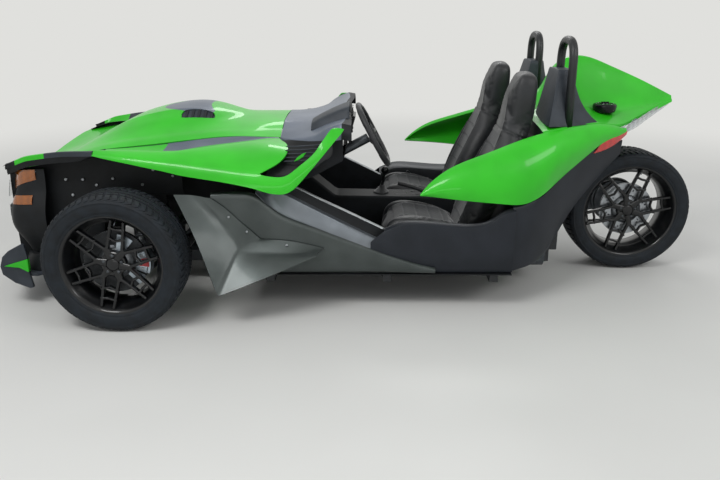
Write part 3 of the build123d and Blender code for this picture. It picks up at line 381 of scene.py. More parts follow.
def extrudeInto(mesh, outline, start, end, axis="Y", index=0):
    # a plate with a given outline; axis Y takes (x, z), axis Z takes (x, y)
    rings = [[mesh.verts.new(Vector((a, depth, b) if axis == "Y" else (a, b, depth)) * mm) for a, b in outline]
             for depth in (start, end)]
    count = len(outline)
    faces = [mesh.faces.new(rings[0]), mesh.faces.new(rings[1][::-1])]
    for i in range(count):
        j = (i + 1) % count
        faces.append(mesh.faces.new([rings[0][i], rings[1][i], rings[1][j], rings[0][j]]))
    for face in faces:
        face.material_index = index


def skinRings(mesh, rings, smooth=False):
    # a closed skin over rings of vertices
    for low, high in zip(rings, rings[1:]):
        for k in range(len(low)):
            m = (k + 1) % len(low)
            mesh.faces.new([low[k], low[m], high[m], high[k]]).smooth = smooth
    mesh.faces.new(rings[0])
    mesh.faces.new(rings[-1][::-1])


def turnInto(mesh, profile, centre, axis="Y", segments=48, index=0, closed=False, along=None, smooth=True):
    # turns a profile of (radius, distance along the axis) about an axis through a point
    line = Vector(along).normalized() if along else Vector({"X": (1, 0, 0), "Y": (0, 1, 0), "Z": (0, 0, 1)}[axis])
    side = line.orthogonal().normalized()
    other = line.cross(side)
    rings = []
    for i in range(segments):
        angle = 2 * pi * i / segments
        out = side * cos(angle) + other * sin(angle)
        rings.append([mesh.verts.new((Vector(centre) + line * d + out * r) * mm) for r, d in profile])
    count = len(profile)
    for i in range(segments):
        j = (i + 1) % segments
        for k in range(count if closed else count - 1):
            m = (k + 1) % count
            face = mesh.faces.new([rings[i][k], rings[i][m], rings[j][m], rings[j][k]])
            face.material_index = index
            face.smooth = smooth
    if not closed:
        for k in (0, count - 1):
            if profile[k][0] < 0.05:
                bmesh.ops.remove_doubles(mesh, verts=[ring[k] for ring in rings], dist=0.0002)
    return rings


def tubeInto(mesh, points, radius, segments=12, index=0, closed=False, taper=None):
    # a round bar along a line of points
    line = [Vector(p) for p in points]
    count = len(line)
    rings = []
    side = None
    for i, here in enumerate(line):
        ahead = line[(i + 1) % count] if closed or i < count - 1 else here
        behind = line[i - 1] if closed or i else here
        along = (ahead - behind).normalized()
        side = along.orthogonal() if side is None else side - along * side.dot(along)
        side.normalize()
        other = along.cross(side)
        size = taper[i] if taper else radius
        rings.append([mesh.verts.new((here + (side * cos(2 * pi * k / segments) + other * sin(2 * pi * k / segments))
                                      * size) * mm) for k in range(segments)])
    for i in range(count if closed else count - 1):
        a, b = rings[i], rings[(i + 1) % count]
        shift = 0
        if closed and i == count - 1:
            shift = min(range(segments), key=lambda s: (a[0].co - b[s].co).length)
        for k in range(segments):
            m = (k + 1) % segments
            face = mesh.faces.new([a[k], a[m], b[(m + shift) % segments], b[(k + shift) % segments]])
            face.smooth = True
            face.material_index = index
    if not closed:
        for ring in (rings[0][::-1], rings[-1]):
            mesh.faces.new(ring).material_index = index


def smoothLine(points, steps):
    # points on a soft curve through the given ones
    line = [Vector(p) for p in points]
    found = []
    for i in range(len(line) - 1):
        p0, p1, p2, p3 = line[max(0, i - 1)], line[i], line[i + 1], line[min(i + 2, len(line) - 1)]
        for s in range(steps):
            t = s / steps
            found.append(0.5 * ((2 * p1) + (p2 - p0) * t + (2 * p0 - 5 * p1 + 4 * p2 - p3) * t * t
                                + (3 * p1 - p0 - 3 * p2 + p3) * t ** 3))
    return found + [line[-1]]


def between(rows, x):
    # the values at x on the straight line between table rows sorted by x
    for low, high in zip(rows, rows[1:]):
        if low[0] <= x <= high[0]:
            share = (x - low[0]) / (high[0] - low[0])
            return [a + share * (b - a) for a, b in zip(low[1:], high[1:])]
    return list((rows[0] if x < rows[0][0] else rows[-1])[1:])


def threes(*rows):
    # flat rows of x, y, z, x, y, z... as rows of points
    return [list(zip(row[::3], row[1::3], row[2::3])) for row in rows]


def slices(*rows):
    # flat rows of x, then y, z, y, z..., as rows of points at that x
    return [[(x, y, z) for y, z in zip(row[::2], row[1::2])] for x, *row in rows]


def boltInto(mesh, place, along, size=6.0, index=0):
    # a round-headed fastener with a hexagon socket
    depth = size * 0.55
    profile = [(0.0, 0.45 * depth), (size * 0.3, 0.45 * depth), (size * 0.34, depth), (size * 0.75, depth),
               (size, 0.6 * depth), (size, -0.5)]
    turnInto(mesh, profile, place, along=along, segments=12, index=index, smooth=False)


# studio: camera, floor and lamps

studio = {"cameraPlace": (-0.0536, 3.9217, 1.4579), "yaw": 0.00910503, "pitch": 0.326223578, "focal": 34.627,
          "floorColour": "#DADAD7", "floorShade": "#D6D6D3", "shadeSize": 900.0, "backdrop": "#E0E0DD",
          "floorSize": 60.0, "fadeFrom": 2.6, "fadeTo": 6.5, "skyTop": 0.55, "skyEdge": 0.28}


def studioCamera():
    data = bpy.data.cameras.new("studioCamera")
    data.lens, data.sensor_width = studio["focal"], 36.0
    data.clip_end = 200.0
    camera = bpy.data.objects.new("studioCamera", data)
    yaw, pitch = studio["yaw"], studio["pitch"]
    ahead = Vector((sin(yaw) * cos(pitch), -cos(yaw) * cos(pitch), -sin(pitch)))
    right = ahead.cross(Vector((0, 0, 1))).normalized()
    up = right.cross(ahead)
    turn = Matrix((right, up, -ahead)).transposed().to_4x4()
    camera.matrix_world = Matrix.Translation(studio["cameraPlace"]) @ turn
    bpy.context.scene.collection.objects.link(camera)
    bpy.context.scene.camera = camera


def cameraShare(tree):
    # 1 for what the camera sees, directly or in gloss and glass
    path = addNode(tree, "LightPath")
    gloss = addNode(tree, "Math", {0: path.outputs["Is Camera Ray"], 1: path.outputs["Is Glossy Ray"]},
                    operation="MAXIMUM")
    glass = addNode(tree, "Math", {0: gloss.outputs[0], 1: path.outputs["Is Transmission Ray"]}, operation="MAXIMUM")
    return glass.outputs[0]


def studioFloor():
    mesh = bmesh.new()
    half = studio["floorSize"] / 2
    corners = [mesh.verts.new((x * half, y * half, -0.0005)) for x, y in ((-1, -1), (1, -1), (1, 1), (-1, 1))]
    mesh.faces.new(corners)
    made, tree, shader, place = startMaterial("paintedStudioFloor", {"Roughness": 0.6, "Specular IOR Level": 0.3})
    finish["studioFloor"] = made
    mottle(tree, shader, place, studio["floorColour"], studio["floorShade"], studio["shadeSize"])
    # away from the object the floor turns into the pale backdrop, for the camera and for reflections alone
    reach = addNode(tree, "VectorMath", {0: place}, operation="LENGTH")
    share = addNode(tree, "MapRange", {"Value": reach.outputs["Value"], "From Min": studio["fadeFrom"],
                                       "From Max": studio["fadeTo"]}, interpolation_type="SMOOTHSTEP")
    seen = addNode(tree, "Math", {0: share.outputs[0], 1: cameraShare(tree)}, operation="MULTIPLY")
    paper = addNode(tree, "Emission", {"Color": linearColour(studio["backdrop"])})
    both = addNode(tree, "MixShader", {0: seen.outputs[0], 1: shader.outputs[0], 2: paper.outputs[0]})
    tree.links.new(both.outputs[0], tree.nodes["Material Output"].inputs["Surface"])
    addObject("studioFloor", mesh, "studioFloor")


def studioLight():
    world = bpy.data.worlds.new("studioSky")
    bpy.context.scene.world = world
    world.use_nodes = True
    tree = world.node_tree
    tree.nodes.clear()
    place = addNode(tree, "TexCoord")
    parts = addNode(tree, "SeparateXYZ", {0: place.outputs["Generated"]})
    rise = addNode(tree, "MapRange", {"Value": parts.outputs[2], "From Min": -0.05, "From Max": 0.7,
                                      "To Min": studio["skyEdge"], "To Max": studio["skyTop"]})
    glow = addNode(tree, "Background", {"Color": (0.97, 0.985, 1.0, 1.0), "Strength": rise.outputs[0]})
    paper = addNode(tree, "Background", {"Color": linearColour(studio["backdrop"])})
    both = addNode(tree, "MixShader", {0: cameraShare(tree), 1: glow.outputs[0], 2: paper.outputs[0]})
    addNode(tree, "OutputWorld", {"Surface": both.outputs[0]})
    # name, place, target, width, height and watts
    lamps = (("keyLamp", (2.0, 3.2, 4.4), (0.2, 0.0, 0.4), 2.4, 1.2, 112.0),
             ("fillLamp", (-3.4, 3.0, 3.2), (-0.6, 0.0, 0.5), 2.2, 1.2, 46.0),
             ("backLamp", (-0.5, -4.2, 4.0), (0.0, 0.0, 0.6), 3.4, 0.9, 62.0),
             ("lowLamp", (0.6, 4.6, 0.9), (0.2, 0.5, 0.4), 2.4, 0.5, 8.0))
    for name, spot, target, width, height, power in lamps:
        data = bpy.data.lights.new(name, "AREA")
        data.shape, data.size, data.size_y, data.energy = "RECTANGLE", width, height, power
        lamp = bpy.data.objects.new(name, data)
        lamp.location = spot
        lamp.rotation_euler = (Vector(target) - Vector(spot)).to_track_quat("-Z", "Y").to_euler()
        bpy.context.scene.collection.objects.link(lamp)
    bpy.context.scene.view_settings.view_transform = "Standard"


studioCamera()
studioFloor()
studioLight()
print("studio ready")

# front bodywork

hoodShape = {"wall": 6.0, "ventFront": 925.0, "ventRear": 755.0, "traySink": 8.0, "barPitch": 32.0, "barWidth": 13.0}

# x, then y and z from the middle out: the spine, the insert's edge, the shoulder, the vent's inner
# edge, the bulge's foot, the flank, the crease above the edge, the fold and the edge
hoodRows = slices(
    (1590, 0, 675, 105, 676, 220, 682, 240, 683, 320, 692, 400, 702, 475, 712, 535, 719, 590, 724),
    (1430, 0, 756, 100, 760, 205, 768, 220, 768, 292, 766, 365, 762, 430, 758, 482, 753, 535, 750),
    (1250, 0, 874, 95, 875, 200, 871, 214, 867, 285, 846, 350, 820, 415, 803, 460, 796, 505, 781),
    (1150, 0, 905, 97, 905, 200, 898, 212, 893, 280, 860, 335, 834, 395, 812, 438, 803, 482, 786),
    (1076, 0, 926, 98, 924, 199, 917, 210, 912, 275, 878, 325, 846, 385, 820, 425, 809, 466, 791),
    (1010, 0, 941, 98, 939, 190, 931, 200, 926, 264, 894, 312, 857, 370, 828, 408, 815, 450, 795),
    (925, 0, 951, 97, 948, 180, 938, 190, 932, 250, 896, 301, 862, 360, 838, 399, 825, 440, 804),
    (840, 0, 958, 96, 954, 170, 944, 180, 937, 240, 897, 291, 866, 346, 844, 386, 833, 431, 813),
    (755, 0, 945, 94, 940, 161, 921, 170, 916, 222, 889, 282, 864, 337, 851, 378, 842, 424, 821),
    (680, 0, 915, 70, 912, 105, 905, 118, 902, 165, 890, 262, 866, 326, 852, 368, 845, 418, 828),
    (580, 0, 888, 36, 888, 62, 886, 70, 886, 100, 884, 240, 870, 318, 853, 360, 844, 412, 830),
    (480, 0, 884, 24, 884, 40, 884, 48, 884, 66, 883, 225, 874, 302, 853, 350, 841, 405, 825),
    (386, 0, 884, 18, 884, 32, 884, 40, 884, 52, 883, 200, 879, 292, 851, 340, 839, 400, 821),
)
# where the panel's rows cross each of those lines; the slate insert's two ends slant
hoodStations = (
    (1590,) * 9, (1430,) * 9, (1250,) * 9, (1150,) * 9,
    (1126, 1118, 1080, 1040) + (1010,) * 5,
    (1092, 1076, 985, 938) + (925,) * 5,
    (935, 922, 868) + (840,) * 6,
    (800, 793, 763) + (755,) * 6,
    (705, 700, 688) + (680,) * 6,
    (580,) * 9, (480,) * 9, (386,) * 9,
)
# the two rows in front of those, down to the nose's lip
noseRows = threes(
    (1866, 0, 583, 1860, 105, 590, 1846, 230, 611, 1842, 250, 615, 1820, 340, 640, 1793, 430, 666, 1762, 505, 689,
     1726, 565, 704, 1693, 603, 714),
    (1800, 0, 606, 1795, 105, 611, 1783, 228, 628, 1778, 248, 633, 1760, 335, 655, 1735, 422, 677, 1706, 495, 697,
     1676, 555, 709, 1648, 597, 718),
)


def hoodPoint(x, column):
    return (x, *between([row[column] for row in hoodRows[::-1]], x))


def makeHood():
    sheet = Sheet()
    lip = [(x - 14, y, z - 26) for x, y, z in noseRows[0]]
    rows = [lip, *noseRows] + [[hoodPoint(x, c) for c, x in enumerate(line)] for line in hoodStations]
    first = 3 + [line[4] for line in hoodStations].index(hoodShape["ventFront"])
    vents = [(first, 3), (first + 1, 3)]
    made = sheet.grid(rows, columns={2: 0.5, 4: 0.6, 6: 0.75, 7: 0.3, 8: 1.0}, across={1: 0.7, len(rows) - 1: 1.0},
                      holes=vents, paint=lambda r, c: 1 if c < 3 and first <= r < first + 2 else 0)
    for r in (first, first + 1):
        sheet.crease(made[r][3], made[r + 1][3], 1.0)
        sheet.crease(made[r][4], made[r + 1][4], 1.0)
    for r in (first, first + 2):
        sheet.crease(made[r][3], made[r][4], 1.0)
    sheetPiece("hood_panel", sheet, "green slate", hoodShape["wall"], ["hood"], edge=1.8)


def makeHoodVents():
    # a tray sunk under each slot of the hood, with flat bars across it
    mesh = bmesh.new()
    front, rear, sink = hoodShape["ventFront"], hoodShape["ventRear"], hoodShape["traySink"]

    def slab(way, ahead, behind, near, far, top, low, index):
        corners = []
        for x in (behind, ahead):
            for share in (near, far):
                for depth in (low, top):
                    p = Vector(hoodPoint(x, 3)).lerp(Vector(hoodPoint(x, 4)), share)
                    corners.append(mesh.verts.new(Vector((p.x, way * (p.y - 0.5 * depth), p.z - 0.86 * depth)) * mm))
        boxFaces(mesh, corners, index)

    for way in (-1, 1):
        for ahead, behind in ((front + 8, 840.0), (840.0, rear - 8)):
            slab(way, ahead, behind, -0.15, 1.12, sink, sink + 3, 0)
        for i in range(5):
            x = rear + 14 + i * hoodShape["barPitch"]
            slab(way, x + hoodShape["barWidth"], x, 0.04, 0.96, 2.0, sink + 1, 1)
    closePiece(mesh, "hood_vent_trays", "greyTrim charcoal", ["hood_vents"], bevel=(1.0,))


# the wing's rows: channel lip, two points on the lobe's crown, its flank, the fold and the hem
wingRows = slices(
    (1250, 655, 803, 663, 806, 671, 805, 680, 801, 690, 796, 697, 790, 700, 784),
    (1180, 645, 799, 656, 804, 669, 804, 685, 799, 702, 791, 712, 781, 716, 771),
    (1100, 635, 796, 648, 802, 666, 802, 690, 796, 715, 786, 727, 773, 731, 759),
    (1000, 618, 789, 636, 799, 660, 801, 694, 793, 729, 777, 743, 761, 747, 741),
    (900, 604, 773, 624, 792, 655, 802, 697, 791, 742, 769, 757, 750, 762, 725),
    (850, 600, 768, 620, 790, 650, 804, 697, 792, 748, 764, 764, 743, 769, 714),
    (820, 596, 782, 614, 797, 645, 808, 697, 792, 752, 761, 768, 739, 773, 707),
) + threes(
    (742, 514, 789, 740, 548, 806, 740, 618, 813, 740, 690, 792, 740, 759, 753, 740, 776, 729, 740, 782, 696),
) + slices(
    (660, 484, 799, 535, 815, 605, 816, 688, 791, 765, 744, 782, 718, 788, 686),
    (580, 464, 808, 518, 821, 596, 819, 688, 788, 771, 734, 788, 706, 794, 674),
) + threes(
    (500, 450, 818, 500, 505, 826, 502, 592, 821, 510, 692, 782, 522, 776, 725, 520, 793, 695, 518, 799, 662),
)
# the two rows that close the lobe behind
lobeEnd = threes(
    (440, 442, 824, 426, 520, 829, 412, 640, 815, 416, 724, 770, 448, 780, 718),
    (388, 434, 821, 326, 560, 816, 316, 690, 798, 358, 730, 752, 448, 780, 718),
)
# the strip that sweeps back under the vent and up to its tip: inner edge, middle, outer edge
hookRows = threes(
    (448, 780, 718, 458, 798, 688, 466, 803, 652),
    (420, 784, 709, 420, 802, 672, 420, 804, 634),
    (389, 786, 705, 380, 804, 665, 372, 803, 624),
    (334, 788, 701, 330, 804, 664, 326, 802, 622),
    (296, 787, 721, 288, 803, 684, 282, 800, 645),
    (247, 782, 764, 244, 799, 728, 238, 797, 696),
    (219, 779, 783, 205, 795, 762, 192, 794, 748),
    (178, 772, 822, 168, 788, 800, 157, 790, 791),
    (162, 766, 851, 146, 780, 830, 130, 782, 822),
    (130, 738, 891, 112, 750, 873, 95, 750, 861),
    (111, 710, 917, 88, 720, 907, 62, 716, 894),
    (95, 690, 917, 77, 694, 919, 50, 692, 911),
)


def makeFenders():
    sheet = Sheet()
    lobe = [row[:5] for row in wingRows] + lobeEnd
    band = [row[4:] for row in wingRows] + hookRows
    sheet.grid(lobe, columns={0: 0.9, 4: 0.35}, across={0: 1.0, len(lobe) - 1: 0.9})
    made = sheet.grid(band, columns={2: 0.9}, across={0: 1.0, len(band) - 1: 1.0})
    for r in range(len(wingRows), len(band) - 1):
        sheet.crease(made[r][0], made[r + 1][0], 0.8)
    sheetPiece("wing_panels", sheet, "green", 7.0, ["fenders"], edge=2.0)


def makeAccents():
    # the slate trough between hood and wing, and the dark brow above the lamps
    sheet = Sheet()
    edge, lip = sorted(row[8] for row in hoodRows), sorted(row[0] for row in wingRows)
    rows = []
    for x, drop in ((1250, 12), (1180, 16), (1100, 20), (1020, 22), (968, 24), (900, 24), (850, 20), (820, 15),
                    (740, 11), (660, 9), (580, 7), (500, 6), (440, 5), (392, 4)):
        row = []
        for share, part, shift, sink in ((0.0, 0.0, -12, 3), (0.0, 0.25, 4, 0), (0.3, 1.0, 0, 0), (0.65, 1.0, 0, 0),
                                         (1.0, 0.3, 0, 0), (1.0, 0.0, 6, 8)):
            spot = x + (36 * share - 18 if x == 968 else 0)
            a, b = between(edge, spot), between(lip, spot)
            row.append((spot, a[0] + share * (b[0] - a[0]) + shift,
                        a[1] + share * (b[1] - a[1]) - part * drop - sink))
        rows.append(row)
    sheet.grid(rows, columns={1: 0.4, 4: 0.4}, across={4: 0.5},
               paint=lambda r, c: 0 if r > 3 else 1 if c == 0 else 2)
    browRows = []
    for x, y, z in ((1246, 701, 804), (1330, 684, 801), (1416, 668, 797), (1500, 656, 785), (1560, 650, 776),
                    (1603, 646, 769), (1660, 622, 744), (1716, 600, 721)):
        a = between(edge, x) if x < 1590 else (590 + (x - 1590) * 0.12, 724 - (x - 1590) * 0.09)
        browRows.append((x, a[0] + 3, a[1] - 16, a[0] + 3, a[1] - 1, a[0] + 0.45 * (y - a[0]),
                         a[1] + 0.45 * (z - a[1]), y - 12, z + 1, y, z - 2, y - 1, z - 24,
                         y - 4, z - (24 if x < 1300 else 54), y - 34, z - (32 if x < 1300 else 56)))
    sheet.grid(slices(*browRows[::-1]), columns={1: 0.6, 3: 0.4, 4: 0.8, 5: 0.9, 6: 0.6},
               paint=lambda r, c: 3 if c > 4 or r == 0 else 1 if r > 3 else 2)
    sheetPiece("wing_channels", sheet, "slate greyTrim green plastic", 5.0, ["accents"])


# cowl: rows from the hood's seam to the screen lip; centre, gauge flank, shoulder, side fold, side
cowlRows = threes(
    (384, 0, 882, 384, 120, 881, 384, 200, 877, 384, 292, 849, 384, 340, 837, 386, 400, 819, 388, 410, 796),
    (320, 0, 885, 320, 130, 884, 318, 225, 872, 314, 300, 856, 310, 400, 842, 306, 490, 822, 304, 505, 798),
    (225, 0, 890, 225, 150, 890, 220, 262, 883, 212, 330, 880, 200, 470, 864, 192, 572, 850, 190, 592, 820),
    (140, 0, 900, 140, 160, 905, 136, 280, 903, 130, 350, 903, 132, 500, 901, 148, 602, 900, 150, 622, 866),
    (60, 0, 922, 60, 170, 930, 52, 290, 928, 44, 380, 927, 50, 540, 928, 62, 632, 929, 64, 656, 890),
    (34, 0, 914, 34, 170, 922, 28, 290, 920, 20, 380, 919, 18, 540, 920, 18, 640, 921, 16, 664, 884),
)
# the visor over the gauges, from its front to its lip and back under
gaugeRows = slices(
    (225, 205, 876, 240, 896, 330, 903, 410, 892, 446, 866),
    (165, 200, 888, 232, 930, 330, 938, 418, 926, 452, 882),
    (95, 194, 908, 226, 962, 330, 970, 424, 957, 458, 908),
    (34, 190, 918, 222, 984, 330, 992, 430, 979, 464, 920),
    (26, 192, 916, 226, 976, 330, 983, 426, 971, 460, 916),
    (60, 196, 918, 230, 955, 330, 960, 422, 950, 456, 918),
)


def makeCowl():
    sheet = Sheet()
    rows = [row + [(row[-1][0], row[-1][1] + 4, row[-1][2] - 34)] for row in cowlRows]
    sheet.grid(rows, columns={2: 0.45, 3: 0.35, 5: 0.85, 6: 0.5}, across={4: 0.6},
               paint=lambda r, c: 1 if r == 4 else 0)
    sheetPiece("cowl_panel", sheet, "slate dashSkin", 6.0, ["cowl"])
    hood = Sheet()
    hood.grid(gaugeRows, columns={1: 0.5, 3: 0.5}, across={3: 0.8, 0: 1.0})
    sheetPiece("gauge_visor", hood, "greyTrim", 4.0, ["gauge_hood"], mirrored=False)


def makeVentDuct():
    # behind the opening between the wing's lobe and its hooked strip: a dark duct, louvre bars and a green vane
    sheet = Sheet()
    rows = threes((400, 470, 812, 396, 560, 806, 388, 640, 780, 410, 700, 720, 436, 722, 680, 436, 716, 655),
                  (330, 500, 830, 318, 560, 806, 300, 640, 770, 300, 700, 712, 336, 724, 680, 338, 716, 655),
                  (230, 590, 832, 220, 610, 806, 206, 660, 776, 200, 705, 720, 232, 718, 700, 248, 708, 690),
                  (120, 640, 850, 110, 655, 836, 104, 675, 806, 108, 690, 785, 126, 700, 770, 140, 698, 762))
    sheet.grid(rows)
    sheetPiece("wing_vent_duct", sheet, "plastic", 4.0, level=1)
    mesh = bmesh.new()
    for way in (-1, 1):
        for i in range(5):
            z = 758 + i * 15
            y = 690 - i * 13
            tubeInto(mesh, smoothLine([(338 - i * 2, way * y, z), (270, way * (y + 6), z + 3),
                                       (196 - i * 8, way * (y - 4), z + 8)], 3), 3.2, 8)
        vane = [(288, way * 706, 760), (266, way * 704, 768), (244, way * 702, 783), (230, way * 699, 803),
                (250, way * 701, 796), (272, way * 704, 780)]
        ring = [mesh.verts.new(Vector(p) * mm) for p in vane]
        back = [mesh.verts.new((Vector(p) + Vector((0, -way * 7, -3))) * mm) for p in vane]
        faces = [mesh.faces.new(ring), mesh.faces.new(back[::-1])]
        for i in range(6):
            j = (i + 1) % 6
            faces.append(mesh.faces.new([ring[i], back[i], back[j], ring[j]]))
        for face in faces:
            face.material_index = 1
    closePiece(mesh, "wing_vent_bars", "greyTrim green", bevel=(0.8,))


# side bodywork

# flare: outer edge, two points towards the crease, the crease, and three towards the seam
flareRows = threes(
    (846, 800, 622, 806, 776, 616, 772, 760, 610, 738, 752, 602, 710, 748, 594, 690, 742, 590),
    (800, 832, 540, 752, 794, 542, 716, 770, 540, 684, 756, 538, 652, 750, 540, 622, 742, 545),
    (740, 872, 432, 690, 818, 448, 660, 782, 458, 630, 760, 466, 596, 752, 474, 566, 742, 484),
    (690, 908, 300, 640, 848, 350, 612, 802, 388, 586, 774, 414, 545, 757, 428, 506, 742, 430),
    (640, 940, 168, 600, 872, 256, 580, 826, 312, 558, 788, 352, 508, 764, 380, 458, 742, 384),
    (535, 930, 206, 536, 872, 268, 530, 830, 306, 512, 792, 334, 468, 768, 362, 410, 742, 383),
    (400, 898, 254, 420, 858, 286, 420, 822, 312, 400, 790, 330, 362, 768, 352, 318, 742, 378),
    (290, 852, 288, 300, 832, 302, 302, 808, 316, 288, 786, 326, 262, 766, 340, 228, 742, 358),
    (186, 806, 320, 184, 798, 325, 180, 786, 328, 174, 772, 331, 164, 758, 334, 150, 742, 338),
)


def makeFlares():
    sheet = Sheet()
    rows = [row + [(row[-1][0] + 1.5, row[-1][1] - 5, row[-1][2])] for row in flareRows]
    turned = [row[::-1] for row in rows]
    sheet.grid(turned, columns={1: 1.0, 3: 0.7, 6: 1.0}, across={4: 0.55, 0: 1.0, len(rows) - 1: 1.0})
    sheetPiece("flare_panels", sheet, "pewter", 6.0, ["flares"], edge=1.8)
    mesh = bmesh.new()
    for way in (-1, 1):
        for x, y, z in ((604, 752.5, 500), (520, 757, 428), (330, 762.5, 362)):
            boltInto(mesh, (x, way * (y + 1.5), z), (0.12, way, 0.18), 5.5)
    closePiece(mesh, "flare_screws", "zinc", outward=False)


# the spear line along the side: x and z
spearLine = ((-404, 200), (-396, 229), (-293, 253), (-147, 301), (55, 380), (180, 430), (315, 481), (393, 519),
             (475, 613))


def makeSidePanels():
    sheet = Sheet()
    rows = []
    for x, top in ((690, 606), (640, 608), (560, 612), (475, 611), (393, 519), (315, 481), (240, 452), (180, 430),
                   (120, 405), (55, 380), (-50, 339), (-147, 301), (-220, 277), (-293, 253), (-345, 241),
                   (-396, 228)):
        low = 200 if x < 500 else 200 + (x - 500) * 0.9
        high = max(top, low + 12)
        tall = high - low
        rows.append((x, 700, high + 2, 722, high + 1, 731, high - min(6, tall * 0.2), 734, high - 0.32 * tall,
                     733, high - 0.6 * tall, 727, low + 0.14 * tall, 712, low, 690, low + 3))
    sheet.grid(slices(*rows), columns={1: 0.8, 2: 0.5, 5: 0.35, 6: 0.7}, across={0: 1.0, len(rows) - 1: 1.0})
    sheetPiece("side_shells", sheet, "pewter", 5.0, ["side_panels"])


def makeSills():
    # the step plate above the spear line, the rounded lip on the cockpit's edge with its top painted bright zinc as a
    # painted highlight along the edge, and the wall inside
    sheet = Sheet()
    rows = []
    for x, spear, step, rail in ((475, 612, 622, 640), (393, 520, 606, 634), (340, 492, 592, 630),
                                 (285, 468, 562, 615), (190, 433, 512, 561), (66, 384, 447,
                                                        504), (-49, 339, 388, 447), (-104, 318, 361, 420),
                                 (-149, 300, 339, 397)):
        rows.append((x, 592, 206, 592, rail - 60, 594, rail - 6, 598, rail, 612, rail, 617, rail - 6, 622, rail - 26,
                     634, step, 664, step - 4, 690, spear + 0.35 * (step - spear), 712, spear + 4, 722, spear - 1))
    # painted highlight: the lip's top (faces 2 to 4) gets bright zinc in place of the light caught along the dark
    # wall's rounded edge
    sheet.grid(slices(*rows), columns={2: 0.8, 3: 0.5, 4: 0.5, 5: 0.7, 6: 0.8, 7: 0.8, 8: 0.6, 10: 0.6},
               paint=lambda r, c: 2 if c < 2 else 1 if c < 5 else 3 if c < 7 else 0)
    sheetPiece("step_sills", sheet, "stepMetal zinc dashSkin plastic", 4.0,
               ["sills"])


# x, top z, and the z where the wall inside ends
rearSillRows = ((-150, 424, 397), (-229, 466, 440), (-330, 461, 440), (-450, 450, 428), (-580, 441, 418),
                (-640, 455, 426), (-680, 478, 446), (-716, 512, 476), (-748, 522, 492), (-778, 528, 500))


def makeRearSills():
    sheet = Sheet()
    rows = []
    for x, top, inner in rearSillRows:
        low = 200 + max(0.0, -x - 600) * 0.01
        spear = between(sorted(spearLine), max(x, -396))[0]
        crease = spear if x > -300 else 250 + (-x - 300) * 0.02
        rows.append((x, 592, 206, 592, inner - 30, 598, inner, 640, inner + 0.6 * (top - inner), 690, top,
                     712, top - 8, 718, top - 60, 720, 0.5 * (top + crease), 722, crease + 16, 716, crease - 22,
                     706, low, 690, low + 2))
    rows = slices(*rows)
    front = [(x + 74 if i >= 6 else x + 8, y, z) for i, (x, y, z) in enumerate(rows[0])]
    front = [(front[i][0], front[i][1] - 1, min(front[i][2], 378 - 0.4 * (i - 6)) if i >= 6 else front[i][2])
             for i in range(len(front))]
    sheet.grid([front] + rows, columns={2: 0.5, 4: 0.6, 5: 0.5, 8: 0.45, 10: 0.7},
               paint=lambda r, c: 1 if c < 2 else 0)
    sheetPiece("rear_side_shells", sheet, "charcoal dashSkin", 4.0,
               ["rear_sills"])


# rear quarter: inner flange, upper edge, crown, flank points and lower edge, front to rear
quarterRows = threes(
    (-314, 716, 600, -312, 718, 604, -312, 720, 602, -312, 721, 600, -312, 721, 598, -314, 718, 596),
) + slices(
    (-345, 690, 636, 700, 646, 716, 634, 726, 618, 729, 604, 716, 594),
    (-421, 660, 694, 680, 708, 714, 690, 735, 654, 742, 617, 728, 588),
    (-505, 640, 732, 662, 748, 708, 722, 739, 672, 750, 620, 740, 580),
    (-613, 616, 766, 640, 782, 696, 756, 736, 694, 751, 626, 742, 570),
    (-700, 596, 796, 620, 812, 682, 784, 727, 712, 743, 634, 733, 560),
    (-776, 574, 822, 599, 838, 664, 808, 714, 730, 732, 645, 720, 549),
    (-840, 556, 840, 582, 857, 648, 828, 699, 748, 716, 660, 702, 552),
    (-924, 536, 862, 563, 877, 622, 850, 670, 776, 682, 690, 652, 588),
    (-977, 520, 872, 546, 887, 600, 862, 640, 796, 648, 720, 602, 622),
    (-1060, 480, 884, 508, 893, 552, 872, 585, 818, 588, 756, 548, 680),
    (-1140, 448, 890, 470, 897, 506, 880, 530, 840, 532, 792, 504, 732),
    (-1205, 420, 893, 436, 898, 462, 886, 480, 856, 484, 818, 463, 775),
    (-1262, 396, 888, 408, 892, 428, 882, 440, 862, 444, 838, 430, 806),
) + threes(
    (-1304, 372, 880, -1304, 384, 885, -1304, 400, 876, -1304, 412, 858, -1304, 414, 840, -1302, 406, 816),
) + slices(
    (-1350, 346, 866, 356, 870, 370, 865, 380, 854, 383, 842, 378, 824),
    (-1398, 318, 856, 326, 860, 336, 857, 342, 852, 344, 847, 340, 838),
)


def makeQuarters():
    sheet = Sheet()
    rows = [row + [(row[-1][0], row[-1][1] - 12, row[-1][2] + 8)] for row in quarterRows]
    sheet.grid(rows, columns={1: 0.5, 5: 0.75})
    sheetPiece("rear_quarter_panels", sheet, "green", 6.0, ["rear_quarters"], edge=1.8)


# deck and hump: x, ridge z, foot y and z, valley y and z, edge y and z
deckRows = (
    (-946, 985, 150, 928, 330, 896, 530, 876, 866),
    (-1003, 1004, 158, 936, 320, 905, 506, 884, 868),
    (-1030, 1050, 163, 942, 315, 912, 494, 888, 869),
    (-1056, 1108, 168, 948, 310, 918, 482, 891, 870),
    (-1085, 1155, 172, 955, 304, 925, 468, 894, 871),
    (-1135, 1190, 172, 962, 280, 932, 446, 897, 872),
    (-1205, 1209, 165, 972, 246, 940, 412, 898, 872),
    (-1290, 1192, 152, 962, 230, 930, 380, 888, 864),
    (-1375, 1155, 140, 952, 212, 918, 330, 872, 856),
    (-1480, 1112, 108, 952, 160, 928, 224, 898, 880),
    (-1586, 1066, 72, 958, 104, 940, 126, 924, 906),
    (-1680, 1020, 38, 963, 50, 952, 60, 942, 930),
    (-1748, 986, 13, 968, 17, 964, 20, 960, 954),
)


